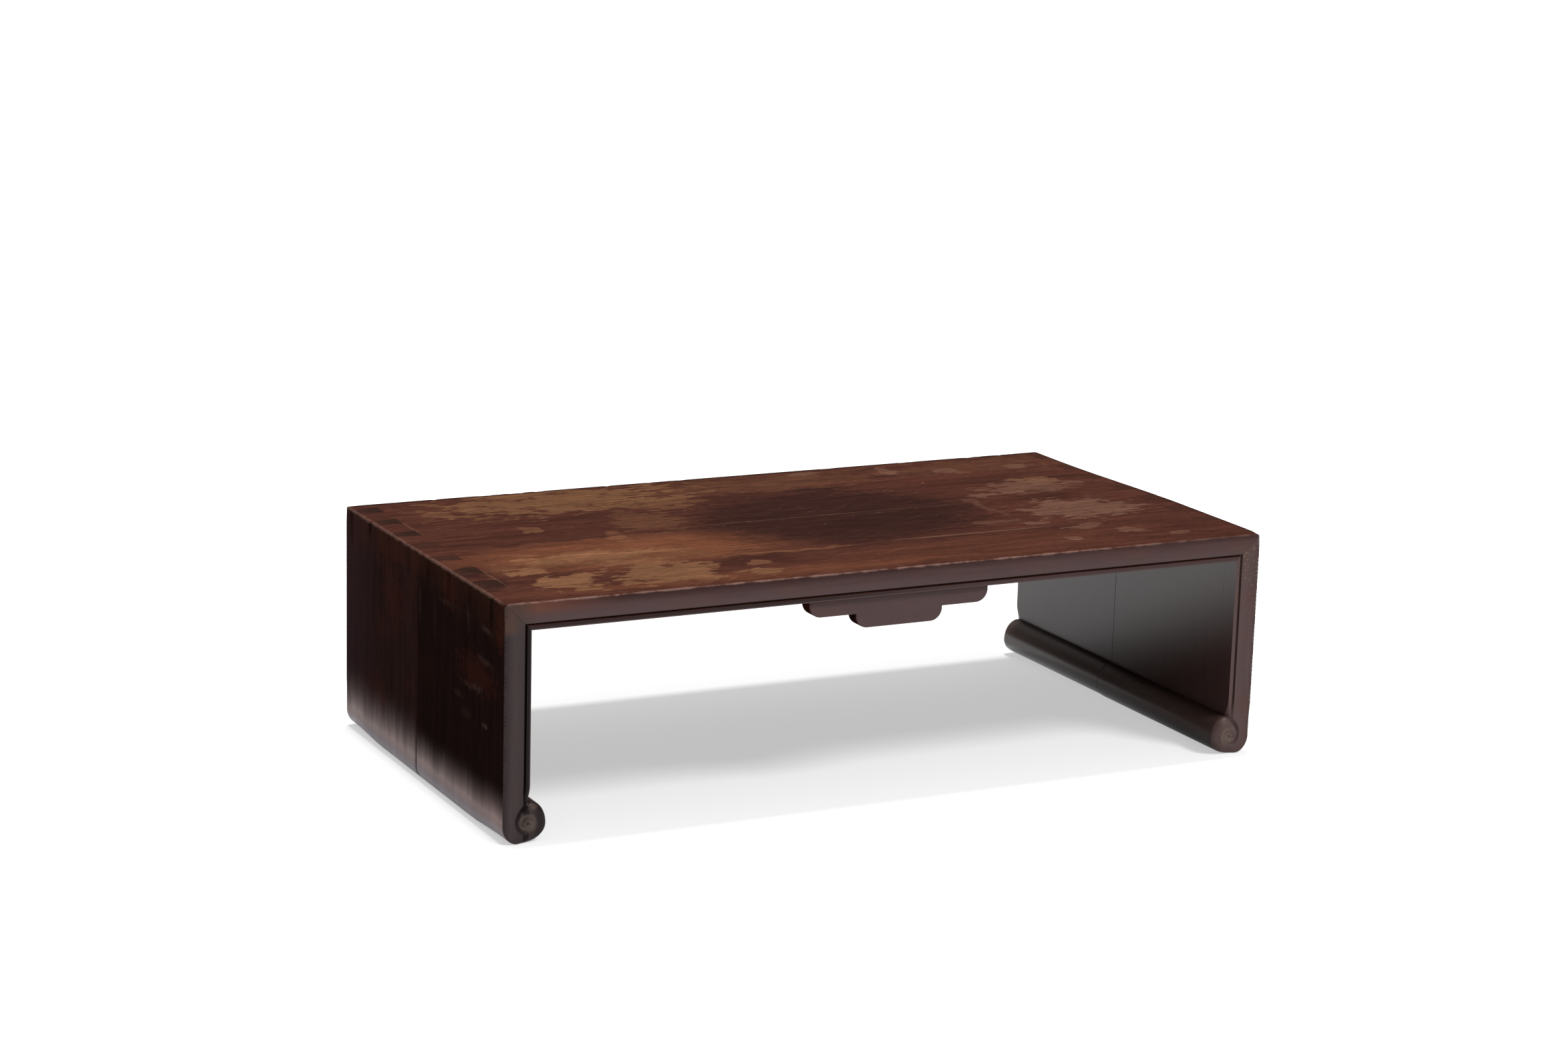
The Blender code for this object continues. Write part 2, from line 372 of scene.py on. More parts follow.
@dataclass(frozen=True)
class EndWear:
    """Rounding of the end arrises and the corners: mostly slight, heavy at the back of the right end."""

    slight: float = 1.1 * MM
    heavy: float = 7.0 * MM
    start: float = -35 * MM
    full: float = 80 * MM
    knocked: float = 1.6 * MM
    corner_depth: float = 0.9 * MM
    corner_reach: float = 9.0 * MM
    corner_band: float = 2.2 * MM

    def radius(self, side: Side, y: np.ndarray) -> np.ndarray:
        """Radius of the arris along an end.

        Args:
            side: End of the stand.
            y: Y positions.

        Returns:
            The radius at each position.
        """
        y = np.asarray(y, float)
        share = smooth(y, self.start, self.full) if side is Side.RIGHT else np.zeros(y.shape)
        corner = smooth(-y, STOCK.depth / 2 - self.corner_reach, STOCK.depth / 2)
        return self.slight + (self.heavy - self.slight) * share + self.knocked * corner

    def drop(self, side: Side, inward: np.ndarray, y: np.ndarray) -> np.ndarray:
        """Depth by which the rounding lies below the top face.

        Args:
            side: End of the stand.
            inward: Distances from that end.
            y: Y positions.

        Returns:
            The depth at each position.
        """
        r = self.radius(side, y)
        left = np.clip(r - inward, 0, r)
        return r - np.sqrt(np.maximum(r ** 2 - left ** 2, 0))

    def corner(self, along: np.ndarray, from_arris: np.ndarray) -> np.ndarray:
        """Set-back of the front or rear arris where a corner is worn.

        Args:
            along: Distances from the corner.
            from_arris: Distances from the arris.

        Returns:
            The set-back at each place.
        """
        near = np.clip(1 - from_arris / self.corner_band, 0, 1)
        return self.corner_depth * near * (1 - smooth(np.asarray(along, float), 0, self.corner_reach))


@dataclass(frozen=True)
class Stock:
    """Overall sizes of the stand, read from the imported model."""

    length: float
    depth: float
    height: float
    thickness: float
    seam: float

    @classmethod
    def measured(cls) -> "Stock":
        """Reads the sizes from the CAD boxes.

        Returns:
            The sizes of the stand.
        """
        low, high = CAD_BOX
        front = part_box("top_front_board")
        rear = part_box("top_rear_board")
        seam = (front[1].y + rear[0].y) / 2
        return cls(high.x - low.x, high.y - low.y, high.z, front[1].z - front[0].z, seam)


STOCK = Stock.measured()


@dataclass(frozen=True)
class EdgeMoulding:
    """Profile of the show edges: a worn arris, a flat round, and a bead along the inner corner."""

    round_top: float = 0.45 * MM
    round_middle: float = 4.5 * MM
    arris_r: float = 0.6 * MM
    bead: float = 2.6 * MM
    bead_depth: float = 0.75 * MM
    groove_half: float = 0.6 * MM
    groove_depth: float = 1.0 * MM

    def arris(self, into: np.ndarray) -> np.ndarray:
        """Set-back of the rounded arris.

        Args:
            into: Distances from the outer face.

        Returns:
            Distances behind the front plane.
        """
        left = np.clip(self.arris_r - into, 0, self.arris_r)
        return self.arris_r - np.sqrt(self.arris_r ** 2 - left ** 2)

    def rounding(self, into: np.ndarray) -> np.ndarray:
        """Set-back of the flat round between the arris and the bead.

        Args:
            into: Distances from the outer face.

        Returns:
            Distances behind the front plane.
        """
        line = STOCK.thickness - self.bead
        return self.round_top * (np.minimum(into, line) / self.round_middle - 1) ** 2

    def groove(self, into: np.ndarray) -> np.ndarray:
        """Share of the groove's depth beside the bead.

        Args:
            into: Distances from the outer face.

        Returns:
            Numbers from 0 to 1.
        """
        line = STOCK.thickness - self.bead
        return np.clip(1 - ((into - line) / self.groove_half) ** 2, 0, 1)

    def beading(self, into: np.ndarray) -> np.ndarray:
        """Set-back of the bead and of the groove beside it.

        Args:
            into: Distances from the outer face.

        Returns:
            Distances behind the front plane.
        """
        line = STOCK.thickness - self.bead
        across = np.clip(2 * (into - line) / self.bead - 1, -1, 1)
        crown = self.bead_depth * (1 - np.sqrt(1 - across ** 2)) * (into > line)
        proud = self.rounding(into) * smooth(into, line, line + self.bead / 2)
        return np.maximum(self.groove_depth * self.groove(into), crown - proud)

    def setback(self, into: np.ndarray) -> np.ndarray:
        """Set-back of the whole profile.

        Args:
            into: Distances from the outer face.

        Returns:
            Distances behind the front plane.
        """
        return np.maximum(self.rounding(into) + self.arris(into) + self.beading(into), 0)

    def stops(self) -> np.ndarray:
        """Distances from the outer face at which the profile is drawn.

        Returns:
            The distances, from 0 to the board's thickness.
        """
        line = STOCK.thickness - self.bead - self.groove_half
        round_over = self.arris_r * (1 - np.cos(np.linspace(0, np.pi / 2, 8)))
        return np.concatenate((
            round_over,
            np.linspace(self.arris_r, line, 13)[1:],
            np.linspace(line, STOCK.thickness, 25)[1:],
        ))


@dataclass(frozen=True)
class Dovetails:
    """Corner joints: pins on the sides, tails on the top, and a mitred shoulder behind the moulding."""

    pins: int = 7
    pin_first: float = 13.8 * MM
    pin_pitch: float = 26.1 * MM
    pin_tip: float = 6.0 * MM
    pin_root: float = 11.0 * MM
    shoulder: float = 5.5 * MM
    gap: float = 0.12 * MM
    over: float = 3.0 * MM

    def centres(self) -> np.ndarray:
        """Finds the middles of the pins.

        Returns:
            Y of each pin, from back to front.
        """
        return STOCK.depth / 2 - self.pin_first - self.pin_pitch * np.arange(self.pins)

    def half(self, inward: float) -> float:
        """Half width of a pin at a distance from the outer face.

        Args:
            inward: Distance from the outer face.

        Returns:
            Half of the pin's width there.
        """
        return (self.pin_tip + (self.pin_root - self.pin_tip) * inward / STOCK.thickness) / 2

    def across(self, side: Side, inward: float) -> float:
        """Turns a distance from the outer face into X.

        Args:
            side: End of the stand.
            inward: Distance from that end's outer face.

        Returns:
            The X position.
        """
        return side * (STOCK.length / 2 - inward)

    def pin_sockets(self, side: Side) -> list[tuple[list, list]]:
        """Solids that take the pins' room out of the top.

        Args:
            side: End of the stand.

        Returns:
            One prism for each pin.
        """
        base = STOCK.height - STOCK.thickness
        reach = STOCK.thickness + self.gap
        solids = []
        for y in self.centres():
            outer = self.half(-self.over) + self.gap
            inner = self.half(reach) + self.gap
            first, last = self.across(side, -self.over), self.across(side, reach)
            outline = [(first, y - outer), (last, y - inner), (last, y + inner), (first, y + outer)]
            solids.append(prism(outline, base - self.over, STOCK.height + self.over, Axis.Z))
        return solids

    def tail_sockets(self, side: Side) -> list[tuple[list, list]]:
        """Solids that take the tails' room out of a side.

        Args:
            side: End of the stand.

        Returns:
            One prism for each tail.
        """
        base = STOCK.height - STOCK.thickness - self.gap
        near, far = -self.over, STOCK.thickness + self.over
        middles = self.centres()
        edge = STOCK.depth / 2 - self.shoulder
        uppers = [None, *middles]
        lowers = [*middles, None]
        solids = []
        for above, below in zip(uppers, lowers):
            outline = []
            for inward in (near, far):
                top = edge if above is None else above - self.half(inward)
                bottom = -edge if below is None else below + self.half(inward)
                outline.append((self.across(side, inward), bottom, top))
            (x0, b0, t0), (x1, b1, t1) = outline
            corners = [(x0, b0), (x1, b1), (x1, t1), (x0, t0)]
            solids.append(prism(corners, base, STOCK.height + self.over, Axis.Z))
        return solids

    def mitre(self, side: Side, face: Face, of_top: bool) -> list[tuple[list, list]]:
        """Solid that mitres the moulded shoulder of a top or of a side.

        Args:
            side: End of the stand.
            face: Front or back.
            of_top: True for the top's mitre, False for the side's.

        Returns:
            The one prism, in a list.
        """
        shift = self.gap / 2 if of_top else -self.gap / 2
        reach = STOCK.thickness + self.over
        outer = (self.across(side, -self.over), STOCK.height + self.over + shift)
        inner = (self.across(side, reach), STOCK.height - reach + shift)
        level = STOCK.height - reach - self.over if of_top else STOCK.height + 2 * self.over
        outline = [outer, (outer[0], level), (inner[0], level), inner]
        depth = self.shoulder + (self.gap if of_top else 0)
        ends = sorted((face * (STOCK.depth / 2 + self.over), face * (STOCK.depth / 2 - depth)))
        return [prism(outline, ends[0], ends[1], Axis.Y)]


@dataclass(frozen=True)
class ScrollFoot:
    """Section of a side, whose foot turns under and rolls inward into a scroll, and its carved end."""

    foot_rise: float = 8.8 * MM
    foot_tuck: float = 7.8 * MM
    foot_flat: float = 2.6 * MM
    fresh_rise: float = 7.0 * MM
    fresh_tuck: float = 4.5 * MM
    fresh_from: float = 8.0 * MM
    fresh_to: float = 45.0 * MM
    roll_out: float = 8.6 * MM
    roll_mid: float = 8.5 * MM
    roll_top: float = 19.4 * MM
    corner_r: float = 1.1 * MM
    eye: tuple[float, float] = (12.0 * MM, 9.3 * MM)
    spiral_turns: float = 1.3
    groove_half: float = 1.0 * MM
    groove_depth: float = 1.3 * MM
    disc_set: float = 0.5 * MM
    eye_half: float = 1.0 * MM
    eye_depth: float = 0.7 * MM
    edge_r: float = 1.0 * MM
    pillow: float = 1.9 * MM
    pillow_from: float = 5.0 * MM
    pillow_to: float = 13.0 * MM
    plank_from: float = 18.0 * MM
    plank_to: float = 27.0 * MM
    bead_from: float = 16.5 * MM
    bead_to: float = 19.0 * MM
    disc_r: float = 6.5 * MM
    rub_from: float = 3.5 * MM
    rub_to: float = 5.5 * MM
    # A painted glint on top of the roll, and painted shade on the roll's rim beside it
    glint: tuple[float, float] = (15.0 * MM, 17.0 * MM)
    glint_half: tuple[float, float] = (1.8 * MM, 1.1 * MM)
    rim_shade_from: float = 14.0 * MM
    rim_shade_to: float = 17.5 * MM

    def outline(self, worn: float) -> np.ndarray:
        """Lists the section's outline, anticlockwise from the outer top corner.

        Args:
            worn: 1 for the foot as handled at its ends, 0 for the squarer foot between them.

        Returns:
            Points as distance inward and height, one row each.
        """
        top, thick, r = STOCK.height, STOCK.thickness, self.corner_r
        rise = self.fresh_rise + worn * (self.foot_rise - self.fresh_rise)
        tuck = self.fresh_tuck + worn * (self.foot_tuck - self.fresh_tuck)
        start = self.foot_tuck + self.foot_flat
        points = arc((r, top - r), (r, r), 90, 180, 9)
        points += [(0.0, z) for z in np.linspace(top - r, rise, 46)[1:-1]]
        points += arc((tuck, rise), (tuck, rise), 180, 270, 40)
        points += [((tuck + start) / 2, 0.0)]
        points += arc((start, self.roll_mid), (thick + self.roll_out - start, self.roll_mid), 270, 360, 46)
        points += arc((thick, self.roll_mid), (self.roll_out, self.roll_top - self.roll_mid), 0, 90, 40)[1:]
        points += [(thick, z) for z in np.linspace(self.roll_top, top, 46)[1:]]
        points += [(u, top) for u in np.linspace(thick, r, 16)[1:-1]]
        return np.array(points)

    def section(self, from_end: float) -> np.ndarray:
        """Outline at a distance from the front or back, squarer the further in it is.

        Args:
            from_end: Distance from the nearest end of the foot.

        Returns:
            Points as distance inward and height, one row each.
        """
        return self.outline(1 - float(smooth(np.array(from_end), self.fresh_from, self.fresh_to)))

    def spiral(self) -> np.ndarray:
        """Lists the middle line of the carved spiral, from the inner face to the eye.

        Returns:
            Points as distance inward and height, one row each.
        """
        # The radius falls fast at first, and then the line winds slowly towards the eye
        turns = np.linspace(0, self.spiral_turns * 2 * np.pi, 220)
        radius = (1.2 + 4.9 * np.exp(-0.16 * turns) + 3.9 * np.exp(-2.0 * turns)) * MM
        angle = turns + math.atan2(self.roll_top - self.eye[1], STOCK.thickness - self.eye[0])
        return np.column_stack((self.eye[0] + radius * np.cos(angle), self.eye[1] + radius * np.sin(angle)))

    def samples(self, outline: np.ndarray, moulding: EdgeMoulding) -> np.ndarray:
        """Spreads points over the end face, close together where it is carved.

        Args:
            outline: Points round the section.
            moulding: Profile of the plank's edge.

        Returns:
            Points inside the outline, one row each.
        """
        step = 0.4 * MM
        split = 26 * MM
        rim_band = 0.95 * MM
        rim_clear = 0.03 * MM
        border = closed(outline)
        across = np.concatenate((moulding.stops()[1:-1], [STOCK.thickness - 0.06 * MM]))
        rows = np.linspace(split, STOCK.height - 0.4 * MM, 44)
        plank = np.array([(u, z) for z in rows for u in across])
        grid = np.array([
            (u, z)
            for z in np.arange(step, split, step)
            for u in np.arange(step, STOCK.thickness + self.roll_out, step)
        ])
        grid = grid[distance_to(border, grid) > rim_band]
        low = outline[:, 1] < split
        rims = [offset_loop(outline, d * MM)[low] for d in (0.06, 0.18, 0.36, 0.6, 0.85)]
        points = np.vstack((plank, grid, *rims))
        points = points[inside(outline, points)]
        return points[distance_to(border, points) > rim_clear]

    def relief(
        self, points: np.ndarray, outline: np.ndarray, moulding: EdgeMoulding
    ) -> tuple[np.ndarray, np.ndarray, np.ndarray]:
        """Works out the carved end face.

        Args:
            points: Points as distance inward and height, one row each.
            outline: Points round the section.
            moulding: Profile of the plank's edge.

        Returns:
            For each point its distance behind the front plane, the soiling and painted shade in it, and the
            rubbing and painted glint on it.
        """
        inward, up = points[:, 0], points[:, 1]
        plank = smooth(up, self.plank_from, self.plank_to)
        rim = distance_to(closed(outline), points)
        r = self.edge_r + self.pillow * smooth(inward, self.pillow_from, self.pillow_to)
        left = np.clip(r - rim, 0, r)
        rounded = r - np.sqrt(r ** 2 - left ** 2)
        away = distance_to(self.spiral(), points)
        from_eye = np.hypot(inward - self.eye[0], up - self.eye[1])
        outer_side = 0.5 - 0.5 * (inward - self.eye[0]) / np.maximum(from_eye, 0.1 * MM)
        fade = (0.2 + 0.8 * outer_side) * (0.6 + 0.4 * smooth(from_eye, 2.5 * MM, 7.0 * MM))
        channel = fade * np.clip(1 - (away / self.groove_half) ** 2, 0, 1)
        dot = np.clip(1 - (from_eye / self.eye_half) ** 2, 0, 1)
        dome = self.disc_set * np.clip(from_eye / self.disc_r, 0, 1) ** 2
        carved = np.maximum(self.groove_depth * channel, self.eye_depth * dot)
        lead = smooth(up, self.bead_from, self.bead_to)
        beading = moulding.beading(inward) * lead
        soft = moulding.rounding(inward) * (0.3 + 0.7 * plank)
        scroll = (1 - plank) * (carved + dome + rounded)
        shape = np.maximum(beading, scroll) + plank * moulding.arris(inward)
        # The disc is worn lighter; the glint on top of the roll is a painted highlight
        disc = 1 - smooth(from_eye, self.rub_from, self.rub_to)
        beside = (inward - self.glint[0]) / self.glint_half[0]
        above = (up - self.glint[1]) / self.glint_half[1]
        glint = np.exp(-beside ** 2 - above ** 2)
        rub_and_painted_shine = (1 - plank) * np.maximum(0.75 * disc, glint)
        # Painted shade on the roll's rim, where it turns away from the light, but not under the glint
        edge = 0.75 * (1 - glint) * smooth(inward, self.rim_shade_from, self.rim_shade_to)
        # The spiral groove and the eye hold soiling and painted shade
        recess = np.maximum(np.maximum(channel, dot), edge)
        dirt_and_shade = np.maximum(moulding.groove(inward) * lead, (1 - plank) * recess)
        return np.maximum(soft + shape, 0), dirt_and_shade, rub_and_painted_shine


@dataclass(frozen=True)
class Patch:
    """A worn, stained or scuffed place on a flat face, in millimetres in that face's two axes."""

    x: float
    y: float
    half_x: float
    half_y: float
    strength: float


@dataclass(frozen=True)
class Finish:
    """What the stand's surfaces share: pattern space, grain, patches, worn arrises with a painted
    highlight, bump and gloss.
    """

    name: str
    specular: float = 0.02
    bump: float = 0.05 * MM
    coat_rough: float = 0.25

    def begin(self) -> tuple[bpy.types.Material, AddNode, bpy.types.NodeSocket]:
        """Starts a material.

        Returns:
            The material, the function that adds nodes to it, and the position in millimetres.
        """
        material = bpy.data.materials.new(self.name)
        material.use_nodes = True
        material.node_tree.nodes.clear()
        add = functools.partial(add_node, material.node_tree)
        place = add("ShaderNodeTexCoord", output="Object")
        scaled = add("ShaderNodeVectorMath", {0: place, "Scale": 1000.0}, operation="SCALE")
        return material, add, scaled

    def folded(
        self, add: AddNode, values: Sequence[bpy.types.NodeSocket], operation: str
    ) -> bpy.types.NodeSocket:
        """Takes several values together, one after the other.

        Args:
            add: Function that adds nodes.
            values: Values to take together.
            operation: What is done with the result so far and the next value.

        Returns:
            The value that comes out.
        """
        total = values[0]
        for value in values[1:]:
            total = add("ShaderNodeMath", {0: total, 1: value}, operation=operation)
        return total

    def grain(
        self,
        add: AddNode,
        place: bpy.types.NodeSocket,
        along: Axis,
        width: float,
        stretch: float,
        detail: float,
    ) -> bpy.types.NodeSocket:
        """Adds streaks that run with the wood.

        Args:
            add: Function that adds nodes.
            place: Position in millimetres.
            along: Direction of the fibres.
            width: Usual width of a streak in millimetres.
            stretch: How many times longer than wide a streak is.
            detail: Number of finer layers.

        Returns:
            Streak height from 0 to 1.
        """
        scale = [1 / width] * 3
        scale[along] = 1 / (width * stretch)
        drawn = add("ShaderNodeVectorMath", {0: place, 1: scale}, operation="MULTIPLY")
        return add("ShaderNodeTexNoise", {
            "Vector": drawn, "Scale": 1.0, "Detail": detail, "Roughness": 0.6,
        })

    def blot(
        self,
        add: AddNode,
        place: bpy.types.NodeSocket,
        ragged: bpy.types.NodeSocket,
        patches: Sequence[Patch],
        soft: float,
    ) -> bpy.types.NodeSocket:
        """Adds the mask of a set of patches.

        Args:
            add: Function that adds nodes.
            place: Position in millimetres, with the face's axes as X and Y.
            ragged: How far the borders move in or out, as a share of the patch.
            patches: Places that the mask covers.
            soft: Width of the border as a share of the patch.

        Returns:
            Mask from 0 to 1.
        """
        masks = []
        for patch in patches:
            shifted = add("ShaderNodeVectorMath", {
                0: place, 1: (patch.x, patch.y, 0),
            }, operation="SUBTRACT")
            scale = (1 / patch.half_x, 1 / patch.half_y, 0)
            scaled = add("ShaderNodeVectorMath", {0: shifted, 1: scale}, operation="MULTIPLY")
            away = add("ShaderNodeVectorMath", {0: scaled}, output="Value", operation="LENGTH")
            border = add("ShaderNodeMath", {0: away, 1: ragged}, operation="ADD")
            masks.append(add("ShaderNodeMapRange", {
                "Value": border, "From Min": 1 + soft, "From Max": 1 - soft, "To Max": patch.strength,
            }, interpolation_type="SMOOTHSTEP"))
        return self.folded(add, masks, "MAXIMUM")

    def from_arris(self, add: AddNode, place: bpy.types.NodeSocket) -> bpy.types.NodeSocket:
        """Measures the way from the nearest outer arris of the stand.

        Args:
            add: Function that adds nodes.
            place: Position in millimetres.

        Returns:
            The distance in millimetres, on the outer faces.
        """
        half = (STOCK.length / 2 / MM, STOCK.depth / 2 / MM, STOCK.height / MM)
        mirrored = add("ShaderNodeVectorMath", {0: place}, operation="ABSOLUTE")
        gaps = add("ShaderNodeVectorMath", {0: half, 1: mirrored}, operation="SUBTRACT")
        total = add("ShaderNodeVectorMath", {0: gaps, 1: (1, 1, 1)}, "Value", operation="DOT_PRODUCT")
        parts = [add("ShaderNodeSeparateXYZ", {0: gaps}, output=int(axis)) for axis in Axis]
        largest = self.folded(add, parts, "MAXIMUM")
        return add("ShaderNodeMath", {0: total, 1: largest}, operation="SUBTRACT")

    def rubbed_arris_and_highlight(
        self, add: AddNode, place: bpy.types.NodeSocket, reach: float, strength: float
    ) -> bpy.types.NodeSocket:
        """Adds the mask of the arrises that hands have worn, pale for the wear and as a painted highlight:
        along the front and the left end of the top.

        Args:
            add: Function that adds nodes.
            place: Position in millimetres.
            reach: Greatest width of the rubbing in millimetres.
            strength: Greatest value of the mask.

        Returns:
            Mask from 0 to the strength.
        """
        cloud = add("ShaderNodeTexNoise", {"Vector": place, "Scale": 1 / 5, "Detail": 4.0})
        width = add("ShaderNodeMapRange", {
            "Value": cloud, "From Min": 0.3, "From Max": 0.6, "To Min": 0.35 * reach, "To Max": reach,
        })
        beyond = add("ShaderNodeMath", {0: self.from_arris(add, place), 1: width}, operation="SUBTRACT")
        mask = add("ShaderNodeMapRange", {
            "Value": beyond, "From Min": 0.6, "From Max": -0.3, "To Max": strength,
        }, interpolation_type="SMOOTHSTEP")
        side = add("ShaderNodeSeparateXYZ", {0: place}, output="X")
        depth = add("ShaderNodeSeparateXYZ", {0: place}, output="Y")
        up = add("ShaderNodeSeparateXYZ", {0: place}, output="Z")
        left = add("ShaderNodeMapRange", {
            "Value": side, "From Min": -194.0, "From Max": -198.0, "To Max": 0.45,
        })
        front = add("ShaderNodeMapRange", {"Value": depth, "From Min": -97.0, "From Max": -101.0})
        fading = add("ShaderNodeMapRange", {
            "Value": side, "From Min": 90.0, "From Max": 170.0, "To Min": 1.0, "To Max": 0.35,
        })
        front = add("ShaderNodeMath", {0: front, 1: fading}, operation="MULTIPLY")
        handled = add("ShaderNodeMath", {0: left, 1: front}, operation="MAXIMUM")
        upper = add("ShaderNodeMapRange", {"Value": up, "From Min": 104.0, "From Max": 109.0})
        place_mask = add("ShaderNodeMath", {0: handled, 1: upper}, operation="MULTIPLY")
        return add("ShaderNodeMath", {0: mask, 1: place_mask}, operation="MULTIPLY")

    def layered(
        self, add: AddNode, base: str, layers: Sequence[tuple[bpy.types.NodeSocket, str]]
    ) -> bpy.types.NodeSocket:
        """Lays colours over one another.

        Args:
            add: Function that adds nodes.
            base: Hex code of the lowest colour.
            layers: Mask and hex code of each layer, lowest first.

        Returns:
            The resulting colour.
        """
        colour = to_linear(base)
        for mask, code in layers:
            inputs = {MIX_FACTOR: mask, MIX_A: colour, MIX_B: to_linear(code)}
            colour = add("ShaderNodeMix", inputs, MIX_RESULT, data_type="RGBA")
        return colour

    def end(
        self,
        add: AddNode,
        colour: bpy.types.NodeSocket,
        roughness: bpy.types.NodeSocket,
        height: bpy.types.NodeSocket,
        coat: bpy.types.NodeSocket | float = 0.0,
    ) -> None:
        """Ends a material with its surface shader.

        Args:
            add: Function that adds nodes.
            colour: Base colour.
            roughness: Surface roughness.
            height: Fine relief from 0 to 1.
            coat: How much polished wax lies over it.
        """
        normal = add("ShaderNodeBump", {"Height": height, "Distance": self.bump, "Strength": 1.0})
        surface = add("ShaderNodeBsdfPrincipled", {
            "Base Color": colour,
            "Roughness": roughness,
            "Normal": normal,
            "Specular IOR Level": self.specular,
            "Coat Weight": coat,
            "Coat Roughness": self.coat_rough,
        })
        add("ShaderNodeOutputMaterial", {"Surface": surface})


@dataclass(frozen=True)
class WornTop(Finish):
    """Old waxed rosewood: a dark round stain, ochre and beige places worn bare, and long fine grain."""

    # Thin, uneven wax over open pores looks dull: dark where it is thick, tan where use took it off
    name: str = "waxed_rosewood_worn_by_use"
    base: str = "#563127"
    dark: str = "#3F231C"
    stain: str = "#351F1B"
    ochre: str = "#745038"
    orange: str = "#875338"
    amber: str = "#8C6044"
    beige: str = "#80593F"
    rosy: str = "#7A5848"
    pale: str = "#7C5C4A"
    # Dark colour of the painted shade line along the back and the right end
    darkening: str = "#1E100D"
    arris_tone: str = "#8C6B60"
    oranges: tuple[Patch, ...] = (
        Patch(-106, -31, 80, 27, 0.58),
        Patch(60, -80, 80, 20, 0.1),
        Patch(-70, -92, 110, 8, 0.3),
    )
    ambers: tuple[Patch, ...] = (
        Patch(-131, -33, 36, 9, 0.95),
        Patch(-38, -56, 34, 2.5, 0.35),
        Patch(-99, 0, 6, 11, 0.4),
    )
    browns: tuple[Patch, ...] = (
        Patch(-117, 35, 33, 25, 0.3),
        Patch(-62, -67, 24, 9, 0.6),
        Patch(140, 6, 20, 6, 0.6),
        Patch(-120, 1, 66, 2.4, 0.6),
        Patch(-20, 58, 40, 10, 0.3),
    )
    stains: tuple[Patch, ...] = (
        Patch(20, 2, 73, 55, 0.88),
        Patch(40, -16, 42, 20, 0.95),
        Patch(36, 55, 12, 8, 0.7),
    )
    ochres: tuple[Patch, ...] = (
        Patch(-94, 78, 58, 24, 0.95),
        Patch(-52, 57, 18, 12, 0.65),
        Patch(-74, 26, 16, 22, 0.38),
        Patch(-165, 78, 16, 14, 0.12),
        Patch(-120, -44, 52, 9, 0.5),
        Patch(14, 82, 66, 16, 0.3),
        Patch(140, 84, 50, 14, 0.25),
    )
    beiges: tuple[Patch, ...] = (
        Patch(-108, -75, 27, 19, 0.85),
        Patch(-157, -75, 18, 14, 0.95),
        Patch(-168, -52, 8, 6, 0.95),
        Patch(-122, -51, 20, 4, 0.5),
        Patch(-65, -88, 8, 6, 0.7),
        Patch(-59, -73, 5, 3.5, 0.5),
        Patch(-134, 24, 5, 6, 0.5),
        Patch(-165, 70, 7, 6, 0.4),
        Patch(157, 38, 11, 10, 0.55),
        Patch(98, 56, 1.6, 1.6, 0.8),
    )
    roses: tuple[Patch, ...] = (
        Patch(144, -22, 26, 19, 0.65),
        Patch(146, 30, 25, 14, 0.55),
        Patch(113, 18, 9, 4, 0.6),
        Patch(90, -37, 14, 3.5, 0.35),
        Patch(100, -5, 4, 20, 0.25),
        Patch(109, -46, 5, 6, 0.5),
        Patch(122, 75, 7, 6, 0.5),
        Patch(95, 86, 5, 8, 0.5),
        Patch(47, 96, 8, 4, 0.5),
        Patch(166, 75, 8, 5, 0.4),
        Patch(125, -60, 9, 5, 0.5),
        Patch(143, -74, 5, 5, 0.5),
        Patch(107, -82, 5, 3, 0.6),
        Patch(164, -89, 6, 3, 0.45),
    )
    joints: tuple[Patch, ...] = (
        Patch(-193.5, 90, 7, 8, 0.4),
        Patch(-193.5, 64, 7, 9, 0.45),
        Patch(-193.5, 38, 6.5, 7, 0.35),
        Patch(-193.5, -42, 7.5, 10, 0.8),
        Patch(-193.5, -68, 7.5, 10, 0.8),
    )
    lines: tuple[Patch, ...] = (
        Patch(20, 5.7, 80, 0.8, 0.2),
        Patch(62, -54, 45, 1.2, 0.5),
        Patch(-186.7, 48, 0.6, 15, 0.4),
        Patch(-186.7, -58, 0.6, 17, 0.4),
    )

    def scratches(self, add: AddNode, place: bpy.types.NodeSocket) -> bpy.types.NodeSocket:
        """Adds fine straight scratches in two directions.

        Args:
            add: Function that adds nodes.
            place: Position in millimetres.

        Returns:
            Mask of the scratches.
        """
        # Hair scratches are drawn about 0.6 mm wide, coarser than real ones, so that they show
        masks = []
        for turn in (5, -27):
            angle = math.radians(turn)
            turned = add("ShaderNodeVectorRotate", {
                "Vector": place, "Angle": angle,
            }, rotation_type="Z_AXIS")
            hairs = self.grain(add, turned, Axis.X, 0.6, 50, 1.0)
            masks.append(add("ShaderNodeMapRange", {
                "Value": hairs, "From Min": 0.68, "From Max": 0.76, "To Max": 0.3,
            }))
        return self.folded(add, masks, "MAXIMUM")

    def shading(self, add: AddNode, place: bpy.types.NodeSocket) -> bpy.types.NodeSocket:
        """Adds the lighter and darker streaks and flecks that run through all colours.

        Args:
            add: Function that adds nodes.
            place: Position in millimetres.

        Returns:
            Factor for the colour, about 1.
        """
        factors = []
        for width, stretch, depth in ((3.0, 9, 0.2), (1.4, 3, 0.14), (0.8, 40, 0.16)):
            streak = self.grain(add, place, Axis.X, width, stretch, 4.0)
            factors.append(add("ShaderNodeMapRange", {
                "Value": streak,
                "From Min": 0.34,
                "From Max": 0.66,
                "To Min": 1 - depth,
                "To Max": 1 + depth,
            }))
        return self.folded(add, factors, "MULTIPLY")

